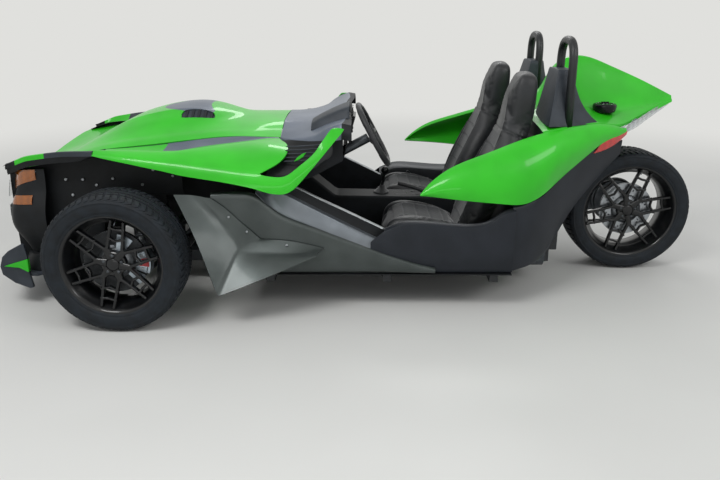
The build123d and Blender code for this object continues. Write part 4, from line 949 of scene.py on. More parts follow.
def makeDeck():
    sheet = Sheet()
    rows = []
    for x, ridge, footY, footZ, valleyY, valleyZ, edgeY, edgeZ, lowZ in deckRows:
        rise = ridge - footZ
        rows.append((x, 0, ridge, 0.10 * footY, ridge - 0.015 * rise, 0.2 * footY, ridge - 0.10 * rise,
                     0.42 * footY, footZ + 0.58 * rise, 0.70 * footY, footZ + 0.24 * rise, footY, footZ,
                     0.5 * (footY + valleyY), 0.5 * (footZ + valleyZ) - 4, valleyY, valleyZ,
                     0.5 * (valleyY + edgeY), 0.5 * (valleyZ + edgeZ) + 3, edgeY, edgeZ, edgeY + 2, lowZ))
    rows = slices(*rows)
    front = [(x + 26, y, 896 if z > 896 else z - 6) for x, y, z in rows[0]]
    # a dark apron closes the slot between the lip and the bulkhead
    apron = [(x - 2, y, 822) for x, y, z in front]
    sheet.grid([apron, front] + rows, columns={1: 0.5, 9: 0.8}, across={1: 0.8, 2: 0.7},
               paint=lambda r, c: 1 if r == 0 else 0)
    sheetPiece("deck_hump_panel", sheet, "green dashSkin", 6.0, ["rear_deck"])


# fairings behind the seats: z, then x and y of the outline's corners, from the front inner corner round
fairingRings = (
    (892, -950, 176, -950, 350, -950, 512, -1060, 486, -1150, 440, -1236, 392, -1236, 262, -1100, 196),
    (936, -958, 186, -958, 345, -958, 496, -1050, 472, -1120, 430, -1180, 392, -1180, 262, -1090, 206),
    (1000, -972, 196, -972, 336, -972, 470, -1030, 462, -1090, 418, -1132, 386, -1132, 262, -1080, 214),
    (1080, -988, 204, -988, 318, -988, 432, -1022, 432, -1070, 406, -1102, 380, -1102, 256, -1070, 216),
    (1150, -1002, 210, -1002, 306, -1002, 402, -1026, 408, -1060, 394, -1086, 372, -1086, 240, -1060, 216),
    (1158, -1006, 216, -1006, 304, -1006, 394, -1026, 400, -1058, 386, -1080, 366, -1080, 244, -1058, 222),
)


def makeFairings():
    sheet = Sheet()
    rings = [[(x, y, z) for x, y in zip(ring[::2], ring[1::2])] for z, *ring in fairingRings]
    rings = [ring + ring[:1] for ring in rings]
    sheet.grid(rings, columns={0: 0.8, 2: 0.8, 4: 0.6, 5: 0.6, 6: 0.8, 7: 0.5, 8: 0.8},
               across={len(rings) - 1: 0.9, len(rings) - 2: 0.6}, flip=True)
    top = [sheet.points[tuple(round(v, 1) for v in p)] for p in rings[-1][:-1]]
    cap = sheet.mesh.faces.new(top)
    cap.smooth = True
    bmesh.ops.recalc_face_normals(sheet.mesh, faces=sheet.mesh.faces)
    sheetPiece("hoop_fairing_shells", sheet, "greyTrim", 4.0, ["hoop_fairings"])


# rear lower panel beside the wheel: front to rear, upper edge to lower edge
lowerRows = threes(
    (-762, 690, 545, -766, 704, 530, -768, 712, 420, -768, 712, 300, -764, 706, 206, -760, 690, 200),
    (-830, 668, 556, -830, 686, 540, -834, 690, 430, -836, 684, 310, -838, 672, 212, -836, 652, 204),
    (-900, 626, 580, -900, 650, 560, -906, 650, 450, -912, 640, 330, -918, 618, 222, -914, 596, 212),
    (-968, 572, 624, -968, 604, 610, -976, 596, 490, -988, 574, 370, -996, 548, 262, -990, 526, 252),
    (-1042, 520, 684, -1042, 550, 672, -1052, 534, 552, -1062, 506, 450, -1066, 474, 372, -1058, 452, 366),
    (-1120, 478, 734, -1120, 500, 726, -1132, 482, 620, -1142, 452, 540, -1146, 424, 474, -1136, 404, 470),
    (-1196, 440, 776, -1196, 456, 772, -1208, 436, 680, -1218, 408, 612, -1222, 384, 556, -1212, 366, 554),
    (-1290, 384, 780, -1290, 394, 776, -1302, 372, 740, -1312, 346, 686, -1316, 326, 640, -1306, 312, 638),
    (-1384, 330, 798, -1384, 338, 792, -1390, 318, 776, -1396, 300, 742, -1398, 288, 714, -1390, 276, 712),
)


def makeRearLowers():
    sheet = Sheet()
    sheet.grid(lowerRows, columns={1: 0.6, 4: 0.7}, across={0: 1.0})
    sheetPiece("rear_lower_shells", sheet, "charcoal", 5.0, ["rear_lowers"])


def makeTailLamps():
    # red lamp, then a clear lens that sweeps along the tail's edge to its tip
    redRows = threes(
        (-1258, 430, 813, -1233, 440, 782, -1206, 448, 748), (-1302, 408, 820, -1284, 418, 796, -1262, 424, 758),
        (-1352, 376, 830, -1344, 384, 808, -1332, 388, 781), (-1404, 336, 846, -1404, 338, 836, -1400, 338, 824))
    clearRows = threes(
        (-1352, 362, 868, -1378, 350, 856, -1396, 342, 838), (-1440, 294, 880, -1450, 290, 864, -1462, 272, 842),
        (-1540, 182, 906, -1544, 184, 890, -1546, 172, 864), (-1620, 104, 928, -1624, 104, 914, -1626, 94, 892),
        (-1700, 42, 952, -1703, 42, 940, -1704, 34, 922), (-1752, 8, 968, -1752, 8, 962, -1750, 4, 952))
    shell = Sheet()
    for rows, index in ((redRows, 0), (clearRows, 1)):
        shell.grid(rows, columns={0: 0.7, 2: 0.7}, across={0: 1.0, len(rows) - 1: 1.0},
                   paint=lambda r, c: index)
    sheetPiece("tail_lamp_lenses", shell, "red clear", 3.0, ["tail_lamps"])
    back = Sheet()
    inset = [[(x + 10, y - 12, z) for x, y, z in row] for row in redRows + clearRows[1:]]
    back.grid(inset, paint=lambda r, c: 1 if r < 3 else 0)
    sheetPiece("tail_lamp_reflectors", back, "reflector red", 2.0)


makeHood()
makeHoodVents()
makeFenders()
makeAccents()
makeCowl()
makeVentDuct()
makeFlares()
makeSidePanels()
makeSills()
makeRearSills()
makeQuarters()
makeDeck()
makeFairings()
makeRearLowers()
makeTailLamps()
print("body panels made")

# wheels and brakes

wheelSizes = {
    "front": {"tyre": 330.0, "width": 225.0, "rim": 229.0, "seat": 100.0, "face": 84.0, "turn": 12.0, "pitches": 62},
    "rear": {"tyre": 343.5, "width": 255.0, "rim": 254.0, "seat": 114.0, "face": 92.0, "turn": 18.4, "pitches": 66},
}
spokeDesign = {"count": 6, "hub": 52.0, "fork": 0.36, "spread": 22.5, "bridge": 0.77, "depth": 26.0}


def onWheel(centre, out, radius, angle, depth):
    # a place at a radius and an angle round the axle, and a depth out along it
    return Vector((centre[0] + radius * cos(angle), centre[1] + out * depth, centre[2] + radius * sin(angle)))


def tyreProfile(size):
    # (radius, distance out, how deep a shoulder slot cuts here) from the outer bead round to the inner one
    r, half, rim, seat = size["tyre"], size["width"] / 2, size["rim"], size["seat"]
    wall = r - rim
    outer = [(rim + 2, seat - 12, 0), (rim + 7, seat - 2, 0), (rim + 0.13 * wall, seat + 4, 0)]
    outer += [(rim + share * wall, half - inset, cut) for share, inset, cut in (
        (0.19, 7, 0), (0.22, 7.5, 0), (0.24, 5, 0), (0.36, 2, 0), (0.50, 0.5, 0), (0.62, 1, 0), (0.70, 3.2, 0),
        (0.715, 2.0, 0), (0.74, 2.6, 0), (0.755, 4.4, 0), (0.82, 6.6, 0), (0.845, 7.4, 2.4))]
    outer += [(r - drop, half - inset, cut) for drop, inset, cut in (
        (9.5, 13, 4.5), (5.5, 20, 5.5), (3.4, 28, 6), (2.2, 40, 6.2))]
    # across the tread: a rib, a groove 8 mm deep, a rib, a groove, the middle rib
    outer += [(r - drop, share * half, cut) for drop, share, cut in (
        (1.5, 0.53, 6.2), (1.4, 0.50, 0), (8, 0.49, 0), (8, 0.42, 0), (1.0, 0.41, 0), (0.8, 0.37, 5), (0.5, 0.25, 5),
        (0.5, 0.21, 0), (8, 0.20, 0), (8, 0.125, 0), (0.2, 0.115, 0), (0, 0.04, 0))]
    return outer + [(a, -b, c) for a, b, c in reversed(outer)]


def makeTyre(name, node, body, centre, out, size):
    mesh = bmesh.new()
    profile = tyreProfile(size)
    pitch = 2 * pi / size["pitches"]
    shoulder, tread, wall = size["tyre"] - 12, size["tyre"] - 4, size["tyre"] - 16
    columns = []
    for i in range(size["pitches"]):
        for share, deep in ((0.0, 0.0), (0.64, 0.0), (0.70, 1.0), (0.95, 1.0)):
            columns.append(((i + share) * pitch, deep))
    rings = []
    for angle, deep in columns:
        ring = []
        for r, d, cut in profile:
            lean = 0.0
            if r > shoulder:
                lean = pitch * (0.9 * abs(d) / size["width"] * 2 + (0.5 if d < 0 else 0.0))
            radius = r - deep * cut * (1.0 if r > tread else 0.7)
            place = d
            if r < tread:
                place -= deep * cut * 0.35 * (1 if d > 0 else -1)
            ring.append(mesh.verts.new(onWheel(centre, out, radius, angle + lean, place) * mm))
        rings.append(ring)
    count = len(profile)
    for i, ring in enumerate(rings):
        after = rings[(i + 1) % len(rings)]
        for k in range(count):
            m = (k + 1) % count
            face = mesh.faces.new([ring[k], after[k], after[m], ring[m]])
            face.smooth = profile[k][0] < wall
    closePiece(mesh, name, "tyre", [node], body=body)


def rimProfile(size):
    r, seat = size["rim"], size["seat"]
    front = ((12, 0), (12, -4), (7, -7), (0, -12), (-1, -30), (-14, -46), (-26, -60))
    back = ((-26, 60), (-14, 44), (-1, 30), (0, 12), (7, 7), (12, 4), (12, 1), (8, 0), (3, 4), (-6, 13), (-20, 40),
            (-34, 60))
    inside = ((-34, -58), (-22, -40), (-9, -20), (-4, -9), (3, -1.5), (8, 0.5))
    return [(r + a, way * seat + b) for line, way in ((front, 1), (back, -1), (inside, 1)) for a, b in line]


def spokeFace(size, r):
    # how far out the spokes' face lies at a radius: dished in the middle, rising to the lip
    share = max(0.0, (r - 70) / (size["rim"] - 70))
    return size["face"] - 6 + 11 * share ** 1.7


def beamInto(mesh, size, start, end, wide, narrow, depth, out, centre):
    # one spoke or bridge between two places given as (radius, degrees), with a crowned front and drafted sides
    def place(polar):
        a = radians(polar[1] + size["turn"])
        return Vector((polar[0] * cos(a), polar[0] * sin(a)))
    a, b = place(start), place(end)
    across = Vector((-(b - a).y, (b - a).x)).normalized()
    section = ((-0.5, depth), (-0.5, 7.0), (-0.34, 1.2), (-0.12, 0.0), (0.12, 0.0), (0.34, 1.2), (0.5, 7.0),
               (0.5, depth))
    rings = []
    steps = 6
    for i in range(steps + 1):
        share = i / steps
        here = a.lerp(b, share)
        width = wide + (narrow - wide) * share
        front = spokeFace(size, here.length)
        ring = []
        for side, back in section:
            taper = 1.0 if back < depth else 0.8
            p = here + across * (side * width * taper)
            ring.append(mesh.verts.new(Vector((centre[0] + p.x, centre[1] + out * (front - back),
                                               centre[2] + p.y)) * mm))
        rings.append(ring)
    skinRings(mesh, rings, True)


def makeRim(name, nodes, body, centre, out, size):
    mesh = bmesh.new()
    turnInto(mesh, [(r, out * d) for r, d in rimProfile(size)], centre, segments=96, closed=True)
    rim, depth, spread = size["rim"], spokeDesign["depth"], spokeDesign["spread"]
    reach, fork, bridge = rim - 12, spokeDesign["fork"] * rim, spokeDesign["bridge"] * rim
    step = 360.0 / spokeDesign["count"]
    half = step / 2
    gap = step - 2 * spread + 9
    for i in range(spokeDesign["count"]):
        # a stem, then its two arms, each with a short strut to the middle of the gap beside it, then two bridges
        beams = [((spokeDesign["hub"] - 22, 0), (fork + 6, 0), 38, 28, depth + 6)]
        for way in (-1, 1):
            beams.append(((fork - 8, way * 2), (reach, way * spread), 18, 14.5, depth))
            beams.append(((0.60 * rim, way * 12.5), (0.50 * rim, way * half), 12.5, 12.5, depth - 6))
        for way in (-1, 1):
            beams.append(((bridge - 5, half), (bridge + 4, half + way * gap / 2), 12.5, 12.5, depth - 6))
        for (near, first), (far, last), wide, narrow, deep in beams:
            beamInto(mesh, size, (near, i * step + first), (far, i * step + last), wide, narrow, deep, out, centre)
    face = size["face"] - 8
    hubCap = ((0.0, 2), (25, 2), (29, -1), (30, -6), (36, -7), (54, -3), (60, -8), (62, -36), (30, -40), (0.0, -40))
    turnInto(mesh, [(r, out * (face + d)) for r, d in hubCap], centre, segments=48)
    closePiece(mesh, name, "alloy", nodes, body=body, bevel=(1.6, 2, 40))
    nuts = bmesh.new()
    for i in range(5):
        a = radians(72 * i + 20)
        spot = onWheel(centre, out, 43, a, face - 5)
        turnInto(nuts, [(0.0, out * 9), (5, out * 9), (8, out * 6.5), (8.5, 0), (12, out * -1), (12, out * -5)], spot,
                 segments=6, smooth=False)
    a = radians(100)
    spot = onWheel(centre, out, reach - 2, a, size["seat"] - 26)
    inward = Vector((-cos(a) * 0.6, out * 0.8, -sin(a) * 0.6))
    tubeInto(nuts, [spot, spot + inward * 14, spot + inward * 30], 3.4, 8)
    closePiece(nuts, name + "_nuts", "forgedSteel", body=body)


def drilledPlate(mesh, centre, out, near, far, depth, thick):
    # one friction face of a disc, drilled in slanting rows
    turns, rings = 96, 6
    layers = [[[mesh.verts.new(onWheel(centre, out, r, 2 * pi * i / turns, depth + face * thick) * mm)
                for r in [near + (far - near) * k / rings for k in range(rings + 1)]] for i in range(turns)]
              for face in (0, 1)]

    def wall(p, q):
        low, high = layers
        mesh.faces.new([low[p[0]][p[1]], low[q[0]][q[1]], high[q[0]][q[1]], high[p[0]][p[1]]])

    for i in range(turns):
        j = (i + 1) % turns
        for k in range(rings):
            ring = [(i, k), (i, k + 1), (j, k + 1), (j, k)]
            if 0 < k < 5 and (i - 2 * k) % 8 == 0:
                for n in range(4):
                    wall(ring[n], ring[(n + 1) % 4])
                continue
            for layer in layers:
                mesh.faces.new([layer[a][b] for a, b in ring])
        wall((i, 0), (j, 0))
        wall((i, rings), (j, rings))


def makeDisc(name, body, centre, out, metal, inner):
    mesh = bmesh.new()
    for start in (inner, inner + 14.5):
        drilledPlate(mesh, centre, out, 84, 150, start, 6.5)
    for i in range(36):
        a = 2 * pi * i / 36
        line = [onWheel(centre, out, r, a + (r - 86) * 0.002, inner + 10.75) for r in (86, 116, 146)]
        tubeInto(mesh, line, 4.2, 4)
    hat = ((86, 1), (86, 20), (74, 24), (66, 36), (30, 37), (30, 33), (62, 32), (70, 1))
    turnInto(mesh, [(r, out * (inner + d)) for r, d in hat], centre, segments=48, closed=True, index=1)
    closePiece(mesh, name, metal + " castAluminium", body=body)


def makeWheel(where, centre, out, size, metal, inner):
    body = "wheel_" + where
    makeTyre("treaded_tyre_" + where, "tyre_" + where, body, centre, out, size)
    makeRim("mesh_spoke_rim_" + where, ["rim_" + where], body, centre, out, size)
    makeDisc("vented_disc_" + where, body, centre, out, metal, inner)


# radii of the caliper's inner and outer edge
caliperShape = {"near": 98.0, "far": 165.0}


def sectorInto(mesh, centre, out, near, far, first, last, low, high, index):
    # a curved block round the axle between two angles
    steps = 8
    outer = [(far, first + (last - first) * i / steps) for i in range(steps + 1)]
    inner = [(near, last - (last - first) * i / steps) for i in range(steps + 1)]
    outline = [(centre[0] + r * cos(radians(a)), centre[2] + r * sin(radians(a))) for r, a in outer + inner]
    extrudeInto(mesh, outline, centre[1] + out * low, centre[1] + out * high, index=index)


def makeCaliper(side, out, centre):
    mesh = bmesh.new()
    s = caliperShape
    for block in ((s["near"], 150, 159, 201, 33, 42, 0), (s["near"] + 4, 152, 159, 201, -16, 4, 0),
                  (152, s["far"], 160, 200, -14, 42, 0), (108, 158, 172, 188, 41, 46, 1),
                  (62, 140, 100, 132, 36, 46, 3), (80, 152, 206, 226, 34, 44, 3), (112, 148, 162, 168, 41, 44, 0),
                  (112, 148, 192, 198, 41, 44, 0)):
        sectorInto(mesh, centre, out, *block)
    bmesh.ops.recalc_face_normals(mesh, faces=mesh.faces)
    for angle in (166, 194):
        boltInto(mesh, onWheel(centre, out, 130, radians(angle), 44), (0, out, 0), 7.0, 2)
    closePiece(mesh, "caliper_body_" + side, "brightCasting caliper zinc brightCasting",
               ["brake_caliper_front_" + side], body="knuckle_" + side, bevel=(2.2, 2, 40), outward=False)


for side, out in (("left", 1), ("right", -1)):
    spot = (frontAxle[0], out * frontAxle[1], frontAxle[2])
    makeWheel("front_" + side, spot, out, wheelSizes["front"], "disc" + side.title(), 8.5)
    roundedCad("brake_disc_front_" + side, "castIron", 1.0)
    makeCaliper(side, out, spot)
    roundedCad("knuckle_" + side, "castAluminium", 2.5)
makeWheel("rear", rearAxle, 1, wheelSizes["rear"], "discRear", 25.5)
roundedCad("hub_rear", "castAluminium", 1.0)
print("wheels made")

# nose: fascia, lamps, grille and splitter

# plan points from the middle round to the side, and the height of the fascia's top edge there
nosePlan = ((1850, 0, 556), (1845, 110, 563), (1832, 235, 584), (1810, 335, 612), (1780, 430, 640), (1738, 520, 664),
            (1700, 582, 684), (1668, 622, 694), (1610, 645, 700), (1520, 650, 704))
noseBulge = {5: 6, 6: 18, 7: 24, 8: 14, 9: 6}   # how much further the corner stands out
noseLevels = ((0.0, -22), (0.10, -26), (0.24, -22), (0.34, -6), (0.44, 14), (0.56, 20), (0.68, 16), (0.82, -8),
              (0.94, -34), (1.0, -44))


def nosePoint(i, share, offset):
    x, y, top = nosePlan[i]
    offset += noseBulge.get(i, 0) * min(1.0, 4 * share) * (1.0 if share < 0.7 else 0.4)
    before, after = nosePlan[max(0, i - 1)], nosePlan[min(len(nosePlan) - 1, i + 1)]
    along = Vector((after[0] - before[0], after[1] - before[1]))
    out = Vector((along.y, -along.x)).normalized()
    if i == 0:
        out = Vector((1.0, 0.0))
    return (x + out.x * offset, max(0.0, y + out.y * offset) if i else 0.0, top + (266 - top) * share)


def noseSkin(i, share, proud):
    # a place on the fascia's skin, or in front of it, between its plan points
    low = min(int(i), len(nosePlan) - 2)
    offset = between(noseLevels, share)[0] + proud
    return tuple(Vector(nosePoint(low, share, offset)).lerp(Vector(nosePoint(low + 1, share, offset)), i - low))


def makeFascia():
    sheet = Sheet()
    rows = [[nosePoint(i, share, offset) for share, offset in noseLevels] for i in range(len(nosePlan))]
    mouth = {(r, c) for r in range(3) for c in range(3, 8)}
    made = sheet.grid(rows, columns={2: 0.5, 8: 0.5}, across={7: 0.3}, holes=mouth)
    for c in range(3, 8):
        sheet.crease(made[3][c], made[3][c + 1], 0.8)
    for r in range(3):
        for c in (3, 8):
            sheet.crease(made[r][c], made[r + 1][c], 0.8)
    sheetPiece("nose_fascia", sheet, "plastic", 6.0, ["front_fascia"])
    mesh = bmesh.new()
    for way in (-1, 1):
        for row in range(7):
            z = 306 + row * 31
            line = [(1818, 0, z), (1812, way * 120, z), (1798, way * 240, z), (1776, way * 330, z)]
            tubeInto(mesh, smoothLine(line, 3), 4.2, 6)
        for column in range(11):
            y = way * (15 + column * 30)
            x = 1818 - (abs(y) / 330) ** 2 * 42
            tubeInto(mesh, [(x, y, 300), (x + 4, y, 400), (x, y, 500)], 3.0, 6)
    closePiece(mesh, "nose_grille_mesh", "glossPlastic", ["grille"], outward=False)


def makeHeadlamps():
    # two stacked lamps a side: smoked cover, bright bowl and a projector lens
    cover = Sheet()
    for first, last, low, high in ((4, 6, 0.10, 0.30), (4, 6, 0.40, 0.54)):
        rows = [[nosePoint(i, share, 6 + 22 * share) for share in (low, 0.5 * (low + high), high)]
                for i in range(first, last + 1)]
        cover.grid(rows, columns={0: 0.9, 2: 0.9}, across={0: 0.9, len(rows) - 1: 0.9})
    sheetPiece("headlamp_covers", cover, "clear", 3.0, ["headlamps"])
    mesh = bmesh.new()
    for way in (-1, 1):
        for x, y, z, r in ((1742, 470, 606, 26), (1716, 528, 616, 24), (1748, 472, 470, 22), (1722, 528, 474, 20)):
            along = Vector((1.0, way * 0.35, 0.0))
            turnInto(mesh, [(0.0, 2), (r * 0.5, 4), (r * 0.8, 8), (r, 16), (r + 3, 17), (r + 3, 0)], (x, way * y, z),
                     along=along, segments=32)
            turnInto(mesh, [(0.0, 16), (r * 0.35, 15), (r * 0.6, 11), (r * 0.66, 4)], (x, way * y, z), along=along,
                     segments=24, index=1)
    closePiece(mesh, "headlamp_projectors", "reflector clear")
    amber = Sheet()
    for first, last, high, low, rise in ((5.9, 8.5, 0.0, 0.22, 0.10), (6.5, 8.3, 0.285, 0.385, 0.0)):
        rows = []
        for k in range(5):
            i, foot = first + (last - first) * k / 4, low - rise * k / 4
            rows.append([noseSkin(i, high + (foot - high) * m / 3, (3, 7, 7, 3)[m]) for m in range(4)])
        amber.grid(rows, columns={0: 0.9, 3: 0.9}, across={0: 0.9, 4: 0.9})
    sheetPiece("side_marker_lenses", amber, "amber", 3.0)


# x and z of the splitter's upright fin, and of its green tip
finOutline = ((1785, 215), (1767, 266), (1735, 296), (1698, 316), (1660, 336), (1650, 330), (1641, 268), (1642, 182),
              (1631, 104), (1650, 98), (1722, 128), (1778, 172))
tipOutline = ((1762, 218), (1700, 238), (1640, 256), (1637, 250), (1639, 190), (1644, 188), (1684, 210))


def makeSplitter():
    mesh = bmesh.new()
    plan = ((1898, 0), (1891, 250), (1862, 400), (1836, 500), (1800, 580), (1770, 640), (1700, 668), (1610, 672),
            (1570, 640), (1570, 0))
    for way in (-1, 1):
        extrudeInto(mesh, [(x, way * y) for x, y in plan], 160, 176, "Z")
        extrudeInto(mesh, finOutline, way * 668, way * 684)
        extrudeInto(mesh, [(x + 2, z) for x, z in tipOutline], way * 666, way * 689, index=1)
    closePiece(mesh, "front_splitter", "greyTrim green", ["splitter"], bevel=(5, 3, 30))
    sheet = Sheet()
    rows = []
    for x, y in ((1846, 0), (1840, 110), (1826, 235), (1800, 345), (1764, 445), (1716, 545), (1676, 610), (1630, 640),
                 (1580, 646)):
        rows.append([(x - 38, max(0, y - 12) if y else 0, 268), (x - 22, y, 262), (x - 4, y, 236), (x + 6, y, 200),
                     (x + 2, y, 172)])
    sheet.grid(rows, columns={1: 0.5})
    sheetPiece("splitter_apron", sheet, "plastic", 4.0)


# seats

seatShape = {"middle": 345.0, "foot": (-552.0, 262.0), "lean": 23.0, "bend": 690.0, "headLean": 8.0, "voxel": 6.0,
             "cap": 24.0, "pressure": 4.0, "sewnDepth": 5.5, "sewnWidth": 5.0, "insert": 126.0}
# rise up the back, half width, front, rear, how deep the middle dishes, how far the bolster stands out
backRows = ((-10, 176, 40, 50, 4, 0), (40, 196, 50, 56, 12, 4), (140, 212, 54, 56, 22, 16),
            (260, 218, 54, 56, 26, 22), (380, 216, 52, 56, 24, 20), (480, 206, 50, 54, 18, 12),
            (560, 184, 48, 52, 10, 4), (640, 142, 50, 50, 6, 0), (700, 118, 54, 48, 8, 2), (800, 114, 62, 54, 10, 4),
            (894, 110, 58, 52, 8, 2), (950, 88, 38, 38, 2, 0))
# cushion: x, half width, top, bottom, dish, bolster
cushionRows = ((-556, 186, 352, 240, 2, 0), (-520, 198, 366, 238, 10, 10), (-440, 206, 380, 238, 20, 26),
               (-340, 209, 396, 238, 22, 34), (-250, 209, 410, 238, 18, 32), (-190, 206, 414, 240, 12, 18),
               (-158, 198, 402, 250, 6, 6), (-146, 180, 380, 280, 2, 0))
# round half a pad: share of its half width, share of the dish, share of the depth in front or behind
crossSection = ((0.0, 1.0, 1.0), (0.34, 1.0, 1.0), (0.58, 0.6, 0.92), (0.78, 0.0, 1.0), (0.94, 0.0, 0.72),
                (1.0, 0.0, 0.1), (0.97, 0.0, -0.55), (0.80, 0.0, -0.96), (0.4, 0.0, -1.0), (0.0, 0.0, -1.0))


def ringPlaces(half, front, rear, dish, bolster):
    # one slice of the pad, as (across, out) places from the middle of its face round to the middle of its back
    ring = []
    for across, hollow, depth in crossSection:
        out = depth * (front if depth > 0 else rear) - hollow * dish
        if 0.5 < across < 0.97 and depth > 0.5:
            out += bolster * (1.0 if across > 0.7 else 0.45)
        ring.append((across * half, out))
    return ring + [(-a, b) for a, b in reversed(ring[1:-1])]


def loftPad(rings):
    mesh = bmesh.new()
    made = [[mesh.verts.new(Vector(p) * mm) for p in ring] for ring in rings]
    skinRings(mesh, made)
    bmesh.ops.recalc_face_normals(mesh, faces=mesh.faces)
    return mesh


def applyModifiers(piece):
    depsgraph = bpy.context.evaluated_depsgraph_get()
    made = bpy.data.meshes.new_from_object(piece.evaluated_get(depsgraph))
    old = piece.data
    piece.modifiers.clear()
    piece.data = made
    bpy.data.meshes.remove(old)


def inflatePad(piece):
    # the cushion swells under its own filling: remeshed evenly, then blown up as cloth, with its travel capped
    modify(piece, "SUBSURF", levels=2, render_levels=2)
    applyModifiers(piece)
    modify(piece, "REMESH", mode="VOXEL", voxel_size=seatShape["voxel"] * mm)
    applyModifiers(piece)
    start = [v.co.copy() for v in piece.data.vertices]
    cloth = modify(piece, "CLOTH")
    cloth.settings.use_pressure = True
    cloth.settings.uniform_pressure_force = seatShape["pressure"]
    cloth.settings.effector_weights.gravity = 0.0
    cloth.settings.tension_stiffness = 25.0
    cloth.settings.compression_stiffness = 25.0
    cloth.settings.bending_stiffness = 2.0
    cloth.point_cache.frame_start, cloth.point_cache.frame_end = 1, 20
    for number in range(1, 21):
        bpy.context.scene.frame_set(number)
    depsgraph = bpy.context.evaluated_depsgraph_get()
    moved = [v.co.copy() for v in piece.evaluated_get(depsgraph).data.vertices]
    piece.modifiers.clear()
    bpy.context.scene.frame_set(1)
    cap = seatShape["cap"] * mm
    for vertex, a, b in zip(piece.data.vertices, start, moved):
        step = b - a
        vertex.co = a + (step if step.length < cap else step.normalized() * cap)
    for face in piece.data.polygons:
        face.use_smooth = True


away = 99.0                     # the distance given where a sewn line doesn't run
fade = 2.718                    # a channel's depth falls off as this to the square of the distance


def sewChannels(piece, measure, lines):
    # press sewn lines into the swollen pad: measure gives a vertex's distance to each line, in millimetres
    depth, width = seatShape["sewnDepth"], seatShape["sewnWidth"]
    normals = [v.normal.copy() for v in piece.data.vertices]
    for vertex, normal in zip(piece.data.vertices, normals):
        place = vertex.co / mm
        sink = 0.0
        for line in lines:
            gap = measure(place, line)
            if gap < 3 * width:
                sink = max(sink, depth * fade ** (-(gap / width) ** 2))
        if sink > 0.05:
            vertex.co -= normal * sink * mm


def leaning(angle):
    # the directions up a back that leans, and out of its face
    lean = radians(angle)
    return Vector((-sin(lean), 0.0, cos(lean))), Vector((cos(lean), 0.0, sin(lean)))


def makeSeat(side, way):
    middle, insert = way * seatShape["middle"], seatShape["insert"]
    foot = Vector((seatShape["foot"][0], 0.0, seatShape["foot"][1]))
    bend = seatShape["bend"]
    (up, ahead), (headUp, headAhead) = leaning(seatShape["lean"]), leaning(seatShape["headLean"])
    rings = []
    for rise, half, front, rear, dish, bolster in backRows:
        # above the bend the head stands more upright than the back
        base = foot + up * min(rise, bend) + headUp * max(0.0, rise - bend)
        out = ahead if rise < bend else headAhead
        rings.append([base + Vector((0, middle + a, 0)) + out * b
                      for a, b in ringPlaces(half, front, rear, dish, bolster)])
    back = addObject("seat_back_pad_" + side, loftPad(rings), "vinyl fabric")
    inflatePad(back)

    def local(place):
        off = Vector(place) - foot
        return off.dot(up), place[1] - middle, off.dot(ahead)

    def backGap(place, line):
        rise, across, out = local(place)
        if out < 0 and line[0] != "wrap":
            return away
        if line[0] == "level":
            return abs(rise - line[1] + 0.0006 * across * across) if abs(across) < 0.62 * halfAt(rise) else away
        if line[0] == "side":
            return abs(abs(across) - line[1] * halfAt(rise)) if rise < 600 else away
        return abs(rise - line[1] - 0.10 * abs(across))

    def halfAt(rise):
        return between([(r[0], r[1]) for r in backRows], rise)[0]

    lines = [("level", z) for z in (130, 210, 290, 370, 450, 530)] + [("side", 0.62), ("wrap", 622)]
    sewChannels(back, backGap, lines)
    for face in back.data.polygons:
        rise, across, out = local(face.center / mm)
        inside = abs(across) < 0.60 * halfAt(rise) and out > 0 and 60 < rise < 600
        face.material_index = 1 if inside else 0
    settle(back, "chassis")

    rings = []
    for x, half, top, low, dish, bolster in cushionRows:
        centre, depth = 0.5 * (top + low), 0.5 * (top - low)
        rings.append([Vector((x, middle + a, centre + b)) for a, b in ringPlaces(half, depth, depth, dish, bolster)])
    cushion = addObject("seat_cushion_pad_" + side, loftPad(rings), "vinyl fabric")
    inflatePad(cushion)

    def cushionGap(place, line):
        if place[2] < 320:
            return away
        across = abs(place[1] - middle)
        if line[0] == "side":
            return abs(across - line[1])
        return abs(place[0] - line[1] - 0.0006 * across * across) if across < insert else away

    sewChannels(cushion, cushionGap, [("side", insert + 2)] + [("level", x) for x in (-470, -400, -330, -260, -200)])
    for face in cushion.data.polygons:
        place = face.center / mm
        face.material_index = 1 if abs(place[1] - middle) < insert and place[2] > 330 else 0
    settle(cushion, "chassis")
    return back, cushion


def makeSeats():
    back, cushion = makeSeat("left", 1)
    makeSeat("right", -1)
    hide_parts("seat_backs")
    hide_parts("seat_cushions")
    mesh = bmesh.new()
    for way in (-1, 1):
        # belt buckle on its stalk, outboard of the cushion
        tubeInto(mesh, [(-404, way * 572, 290), (-368, way * 572, 350), (-340, way * 570, 392)], 7, 8)
        boxInto(mesh, (-358, way * 571 - 11, 384), (-338, way * 571 + 11, 430), 0, (40, "Y"), (-348, way * 571, 392))
        boxInto(mesh, (-354, way * 571 - 8, 430), (-342, way * 571 + 8, 433), 1, (40, "Y"), (-348, way * 571, 392))
    closePiece(mesh, "belt_buckles", "plastic forgedSteel", bevel=(1.5,))


# steering wheel and dashboard

steering = {"centre": (-92.0, 340.0, 824.0), "tilt": 28.0, "radius": 170.0, "grip": 14.0}


def steeringFrame():
    tilt = radians(steering["tilt"])
    axis = Vector((-cos(tilt), 0.0, sin(tilt)))
    across = Vector((0.0, 1.0, 0.0))
    return Vector(steering["centre"]), across, axis.cross(across).normalized(), axis


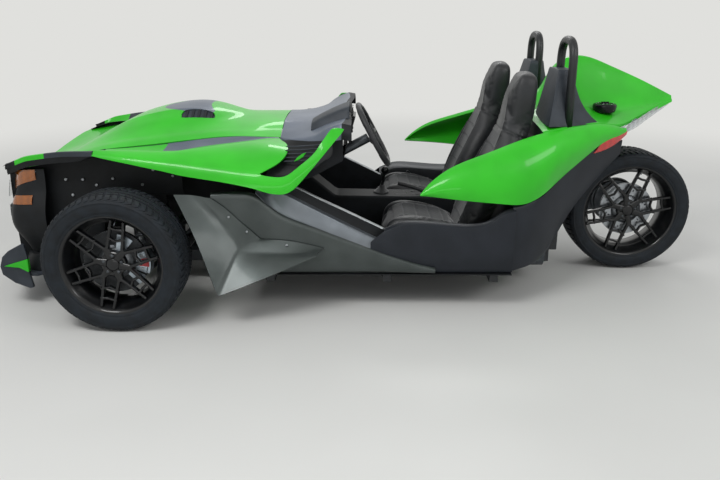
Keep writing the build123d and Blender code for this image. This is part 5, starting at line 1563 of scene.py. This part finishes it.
def makeSteeringWheel():
    centre, across, up, axis = steeringFrame()
    if up.z < 0:
        up = -up
    mesh = bmesh.new()

    def at(a, b, c=0.0):
        return centre + across * a + up * b + axis * c

    ring = []
    for i in range(72):
        angle = 2 * pi * i / 72
        r = steering["radius"]
        ring.append(at(r * cos(angle), max(-r * 0.93, r * sin(angle))))
    size = []                   # the grip is thicker where the hands hold it
    for i in range(72):
        angle = degrees(2 * pi * i / 72) % 180
        size.append(steering["grip"] * (1.12 if 25 < angle < 60 or 120 < angle < 155 else 1.0))
    tubeInto(mesh, ring, steering["grip"], 14, closed=True, taper=size)
    for line, width in ((((160, -4, -2), (110, -4, -10), (40, -6, -14)), 17),
                        (((22, -156, -2), (18, -100, -12), (14, -40, -14)), 9)):
        for way in (1, -1):
            tubeInto(mesh, smoothLine([at(way * a, b, c) for a, b, c in line], 4), width, 10, 1)
    closePiece(mesh, "steering_rim_and_spokes", "grip glossPlastic", ["steering_wheel"],
               body="steering_wheel", outward=False)
    pad = Sheet()
    rows = []
    for b, halves in ((58, (0, 30, 52, 60)), (40, (0, 34, 62, 70)), (0, (0, 36, 66, 76)), (-40, (0, 30, 52, 60)),
                      (-62, (0, 18, 30, 36))):
        rows.append([at(a, b, c) for a, c in zip(halves, (14, 12, 4, -14))])
    for rowsSide in (rows, [[p - across * 2 * (p - centre).dot(across) for p in row] for row in rows]):
        pad.grid([[tuple(p) for p in row] for row in rowsSide], columns={2: 0.4, 3: 1.0},
                 across={0: 1.0, len(rows) - 1: 1.0}, flip=rowsSide is rows)
    bmesh.ops.recalc_face_normals(pad.mesh, faces=pad.mesh.faces)
    for face in pad.mesh.faces:
        if face.normal.dot(axis) < -0.3:
            face.normal_flip()
    sheetPiece("steering_hub_pad", pad, "dashSkin", 12.0, body="steering_wheel",
               mirrored=False)
    mesh = bmesh.new()
    for way in (-1, 1):
        for b in (14, 0, -14):
            spot = at(way * 92, b - 4, 4)
            turnInto(mesh, [(0.0, 4), (6, 4), (8, 2), (8, -6)], spot, along=axis, segments=16)
    closePiece(mesh, "steering_buttons", "greyTrim", body="steering_wheel")


def makeDash():
    # the body under the cowl, then its moulded face
    sheet = Sheet()
    rows = []
    for line in cowlRows[1:5]:
        x, top = min(line[0][0], 296), [(p[1], p[2] - 12) for p in line[:6] if p[1] < 560]
        edge = between([(p[1], p[2]) for p in line], 566)[0] - 14
        rows.append([(x, 0, 640)] + [(x, y, z) for y, z in top] + [(x, 566, edge)] * (6 - len(top))
                    + [(x, 572, 640 if x > 200 else 740 - 0.5 * (x - 50))])
    sheet.grid(rows, columns={6: 0.8}, across={0: 1.0, 3: 1.0}, holes={(r, 0) for r in range(3)})
    sheetPiece("dash_body", sheet, "dashSkin", 4.0, ["dashboard"], level=1)
    sheet = Sheet()
    rows = []
    for y, low in ((0, 640), (120, 650), (240, 690), (400, 700), (520, 715), (572, 748)):
        rows.append([(66, y, 906), (44, y, 896), (34, y, 856), (40, y, 800), (58, y, 740), (80, y, low)])
    sheet.grid([row[::-1] for row in rows], columns={1: 0.3, 4: 0.4})
    sheetPiece("dash_face", sheet, "dashSkin", 4.0)
    mesh = bmesh.new()
    axis = Vector((-0.94, 0.0, 0.34))
    for y, r in ((278, 43), (382, 43), (330, 24)):
        spot = Vector((38, y, 884 if r > 30 else 905))
        turnInto(mesh, [(0.0, 2), (r - 6, 2), (r - 4, 8), (r, 10), (r + 3, 6), (r + 3, -10)], spot, along=axis,
                 segments=40)
        side = axis.orthogonal().normalized()
        other = axis.cross(side)
        for i in range(13):
            a = radians(-130 + i * 260 / 12)
            out = side * cos(a) + other * sin(a)
            tubeInto(mesh, [spot + axis * 3 + out * (r - 16), spot + axis * 3 + out * (r - 9)], 0.9, 4, 1)
        a = radians(-70)
        tubeInto(mesh, [spot + axis * 4, spot + axis * 4 + (side * cos(a) + other * sin(a)) * (r - 12)], 1.3, 4, 2)
    boxInto(mesh, (22, -110, 770), (36, 70, 880), 3, (-16, "Y"), (30, 0, 820))
    for y in (-470, -330, -190, 500):
        turnInto(mesh, [(0.0, -8), (26, -8), (30, 2), (36, 3), (38, -6)], (38, y, 850), along=axis, segments=32)
        for k in (-14, 0, 14):
            tubeInto(mesh, [(30, y - 26, 850 + k), (30, y + 26, 850 + k)], 2.2, 6)
    for i in range(5):
        boxInto(mesh, (34, -88 + i * 32, 735), (46, -66 + i * 32, 751), 0)
    closePiece(mesh, "dash_dials_and_vents", "plastic zinc red glossPlastic")


def makeConsole():
    roundedCad("centre_console", "dashSkin", 14.0, 4, 25)
    roundedCad("gear_lever", "glossPlastic", 1.0)
    mesh = bmesh.new()
    base = Vector((-140.0, 0.0, 426.0))
    profile = [(46, 2), (44, 9), (40, 7), (36, 16), (33, 13), (29, 24), (26, 21), (22, 32), (19, 29), (15, 42),
               (9, 46)]
    rings = turnInto(mesh, profile, base, "Z", 32)
    for ring in rings:
        for (_, rise), vertex in zip(profile, ring):
            vertex.co.x -= 0.0003 * rise * 0.55
    for x in (-250, -350):
        turnInto(mesh, [(42, 3), (39, 5), (36, 3), (35, -2), (0.0, -1)], (x, 0, 421), "Z", 36, 1)
    closePiece(mesh, "gear_gaiter_and_cups", "vinyl glossPlastic")
    brake = bmesh.new()
    tubeInto(brake, smoothLine([(-420, 44, 424), (-380, 44, 448), (-300, 44, 476), (-236, 44, 492)], 4), 12, 12)
    closePiece(brake, "hand_brake_lever", "grip", outward=False)


def makeArchWalls():
    # moulded walls that close the nose off from the front wheels
    sheet = Sheet()
    rows = []
    for x, low in ((1722, 200), (1600, 190), (1450, 190), (1300, 190), (1262, 540), (1150, 560), (1000, 560),
                   (860, 560)):
        high = 700 if x > 1700 else 752 if x > 1300 else 766
        tall = high - low
        rows.append((x, 520, high + 6, 562, high, 572, high - 0.3 * tall, 574, high - 0.7 * tall, 566, low))
    sheet.grid(slices(*rows), columns={1: 0.5}, across={3: 0.8, 4: 0.8})
    sheetPiece("front_arch_walls", sheet, "plastic", 4.0, level=1)
    mesh = bmesh.new()
    for x, z in ((1440, 640), (1355, 640), (1205, 645), (1000, 690), (1415, 560), (905, 660), (1560, 560),
                 (1560, 540), (1290, 612), (1060, 615)):
        for way in (-1, 1):
            boltInto(mesh, (x, way * 577, z), (0, way, 0), 7.0)
    closePiece(mesh, "arch_wall_screws", "zinc", outward=False)


makeFascia()
makeArchWalls()
makeHeadlamps()
makeSplitter()
makeSeats()
makeSteeringWheel()
makeDash()
makeConsole()
print("nose and cabin made")

# chassis, suspension and drive

coilShape = {"wire": 5.5, "turns": 7.5, "radius": 34.0}


def makeCoils():
    # helical springs on their dampers, in the place of the plain stacks
    mesh = bmesh.new()
    radius = coilShape["radius"]
    shocks = [((1110.5, way * 560, 208), (1110.5, way * 401, 600)) for way in (-1, 1)]
    shocks.append(((-1122, 0, 300), (-1056, 0, 734)))
    for low, high in shocks:
        a, b = Vector(low), Vector(high)
        axis = (b - a).normalized()
        length = (b - a).length
        side = axis.orthogonal().normalized()
        other = axis.cross(side)
        turns = coilShape["turns"]
        steps = int(turns * 20)
        line = []
        for i in range(steps + 1):
            share = i / steps
            angle = 2 * pi * turns * share
            ease = share - 0.035 * sin(2 * pi * share)
            line.append(a + axis * (length * (0.31 + 0.60 * ease)) + (side * cos(angle) + other * sin(angle))
                        * (radius - 4))
        tubeInto(mesh, line, coilShape["wire"], 8, 0)
        body = [(0.0, 6), (19, 6), (20, 14), (20, 0.50 * length), (16, 0.53 * length), (12, 0.53 * length),
                (12, 0.95 * length), (0.0, 0.95 * length)]
        turnInto(mesh, body, a, along=axis, segments=24, index=1)
        for share in (0.30, 0.925):
            seat = [(12, -5), (radius + 2, -5), (radius + 3, 0), (radius + 2, 5), (12, 5)]
            turnInto(mesh, seat, a + axis * share * length, along=axis, segments=28, index=2, closed=True)
        for i in range(5):
            ring = [(20, -1.6), (23.5, -1.6), (23.5, 1.6), (20, 1.6)]
            turnInto(mesh, ring, a + axis * (0.18 + i * 0.018) * length, along=axis, segments=24, index=2,
                     closed=True)
    for spot, axis in (((1110.5, -560, 207), "X"), ((1110.5, 560, 207), "X"), ((-1122, 0, 299), "Y")):
        turnInto(mesh, [(0.0, -26), (13, -26), (14, -20), (14, 20), (13, 26), (0.0, 26)], spot, axis, 24, 2)
    closePiece(mesh, "coil_springs_and_dampers", "springPowder zinc forgedSteel", ["coil_overs"])


hoopShape = {"x": -1056.0, "inner": 225.0, "outer": 468.0, "top": 1297.0, "foot": 800.5, "tube": 21.0, "bend": 96.0}


def makeHoops():
    mesh = bmesh.new()
    s = hoopShape
    for way in (-1, 1):
        corners = [(s["x"], s["outer"], s["foot"]), (s["x"], s["outer"] - 14, s["top"]),
                   (s["x"], s["inner"] + 14, s["top"]), (s["x"], s["inner"], s["foot"])]
        line = [Vector(corners[0])]
        for before, here, after in zip(corners, corners[1:], corners[2:]):
            p, c, n = Vector(before), Vector(here), Vector(after)
            start = c + (p - c).normalized() * s["bend"]
            end = c + (n - c).normalized() * s["bend"]
            for i in range(13):
                t = i / 12
                line.append(start * (1 - t) ** 2 + c * 2 * t * (1 - t) + end * t ** 2)
        line.append(Vector(corners[3]))
        tubeInto(mesh, [(p.x, way * p.y, p.z) for p in line], s["tube"], 24)
    closePiece(mesh, "roll_hoop_tubes", "powder", ["roll_hoops"], outward=False)


def makeFuelCap():
    mesh = bmesh.new()
    spot = (-1308.0, 231.0, 953.0)
    turnInto(mesh, [(0.0, 22), (26, 22), (28, 17), (41, 16), (43, 19), (54, 18), (60, 12), (61, 0), (54, -24)], spot,
             "Z", 48)
    for i in range(6):
        a = radians(60 * i)
        boltInto(mesh, (spot[0] + 45 * cos(a), spot[1] + 45 * sin(a), spot[2] + 18), (0, 0, 1), 3.2, 1)
    boxInto(mesh, (spot[0] - 20, spot[1] - 3, spot[2] + 21), (spot[0] + 20, spot[1] + 3, spot[2] + 28))
    closePiece(mesh, "fuel_filler_cap", "glossPlastic zinc", ["fuel_cap"], bevel=(1.0,))


def makeEngineDress():
    # ribs, covers and pulleys on the engine block that can be seen from below and through the wheel arches
    roundedCad("engine", "castIron", 6.0, 2)
    mesh = bmesh.new()
    for way in (-1, 1):
        for i in range(7):
            x = 720 + i * 34
            boxInto(mesh, (x, way * 200, 340), (x + 6, way * 212, 700), 0)
        tubeInto(mesh, smoothLine([(740, way * 214, 640), (760, way * 250, 610), (850, way * 262, 580),
                                   (930, way * 240, 560)], 4), 22, 12, 1)
    for y, z, r in ((-110, 380, 62), (60, 420, 48), (140, 560, 36), (-40, 600, 40)):
        turnInto(mesh, [(0.0, 24), (r - 12, 24), (r - 8, 28), (r, 28), (r, 22), (r - 5, 18), (r, 14), (r, 6),
                        (0.0, 6)], (950, y, z), "X", 32, 2)
    closePiece(mesh, "engine_ribs_and_pulleys", "castAluminium forgedSteel castIron", bevel=(1.0,))


def makeRadiator():
    roundedCad("radiator", "plastic", 2.0)
    mesh = bmesh.new()
    for i in range(34):
        z = 206 + i * 9.6
        boxInto(mesh, (1540, -280, z), (1544, 280, z + 3), 0)
    for way in (-1, 1):
        boxInto(mesh, (1498, way * 290, 200), (1546, way * 306, 536), 1)
    closePiece(mesh, "radiator_fins", "castAluminium plastic")


def makeBelt():
    roundedCad("belt_drive", "belt castAluminium", 0.8)
    mesh = bmesh.new()
    for x, z, r in ((-1066.0, 250.0, 60), (rearAxle[0], rearAxle[2], 120)):
        turnInto(mesh, [(r + 9, -14), (r + 14, -14), (r + 14, -12), (r - 8, -12.5), (r - 8, -14)], (x, -156.0, z),
                 "Y", 64, closed=True)
    closePiece(mesh, "sprocket_flanges", "castAluminium")


def makeFloorCarpets():
    mesh = bmesh.new()
    for way in (-1, 1):
        low, high = sorted((way * 96, way * 570))
        boxInto(mesh, (-130, low, 196), (560, high, 203))
        low, high = sorted((way * 130, way * 540))
        boxInto(mesh, (-100, low, 203), (470, high, 208), 1)
    closePiece(mesh, "floor_carpets_and_mats", "carpet plastic", bevel=(2.5,), outward=False)


plainNodes = (
    ("frame_rails", "frame", 3.0), ("frame_cross_members", "frame", 3.0), ("suspension_towers", "frame", 3.0),
    ("lower_wishbones", "powder", 2.0), ("upper_wishbones", "powder", 2.0), ("rack_housing", "castAluminium", 2.0),
    ("steering_rack", "zinc", 1.5), ("steering_column", "forgedSteel", 1.5), ("inner_fenders", "plastic", 2.0),
    ("firewall", "plastic", 2.0), ("rear_bulkhead", "dashSkin", 6.0), ("floor_pan", "plastic", 2.0),
    ("pedals", "forgedSteel", 2.0), ("swingarm", "castAluminium", 5.0),
)

makeCoils()
makeHoops()
makeFuelCap()
makeEngineDress()
makeRadiator()
makeBelt()
roundedCad("muffler", "forgedSteel", 6.0, 3, 20)
makeFloorCarpets()
for node, coat, width in plainNodes:
    roundedCad(node, coat, width)
print("chassis made")
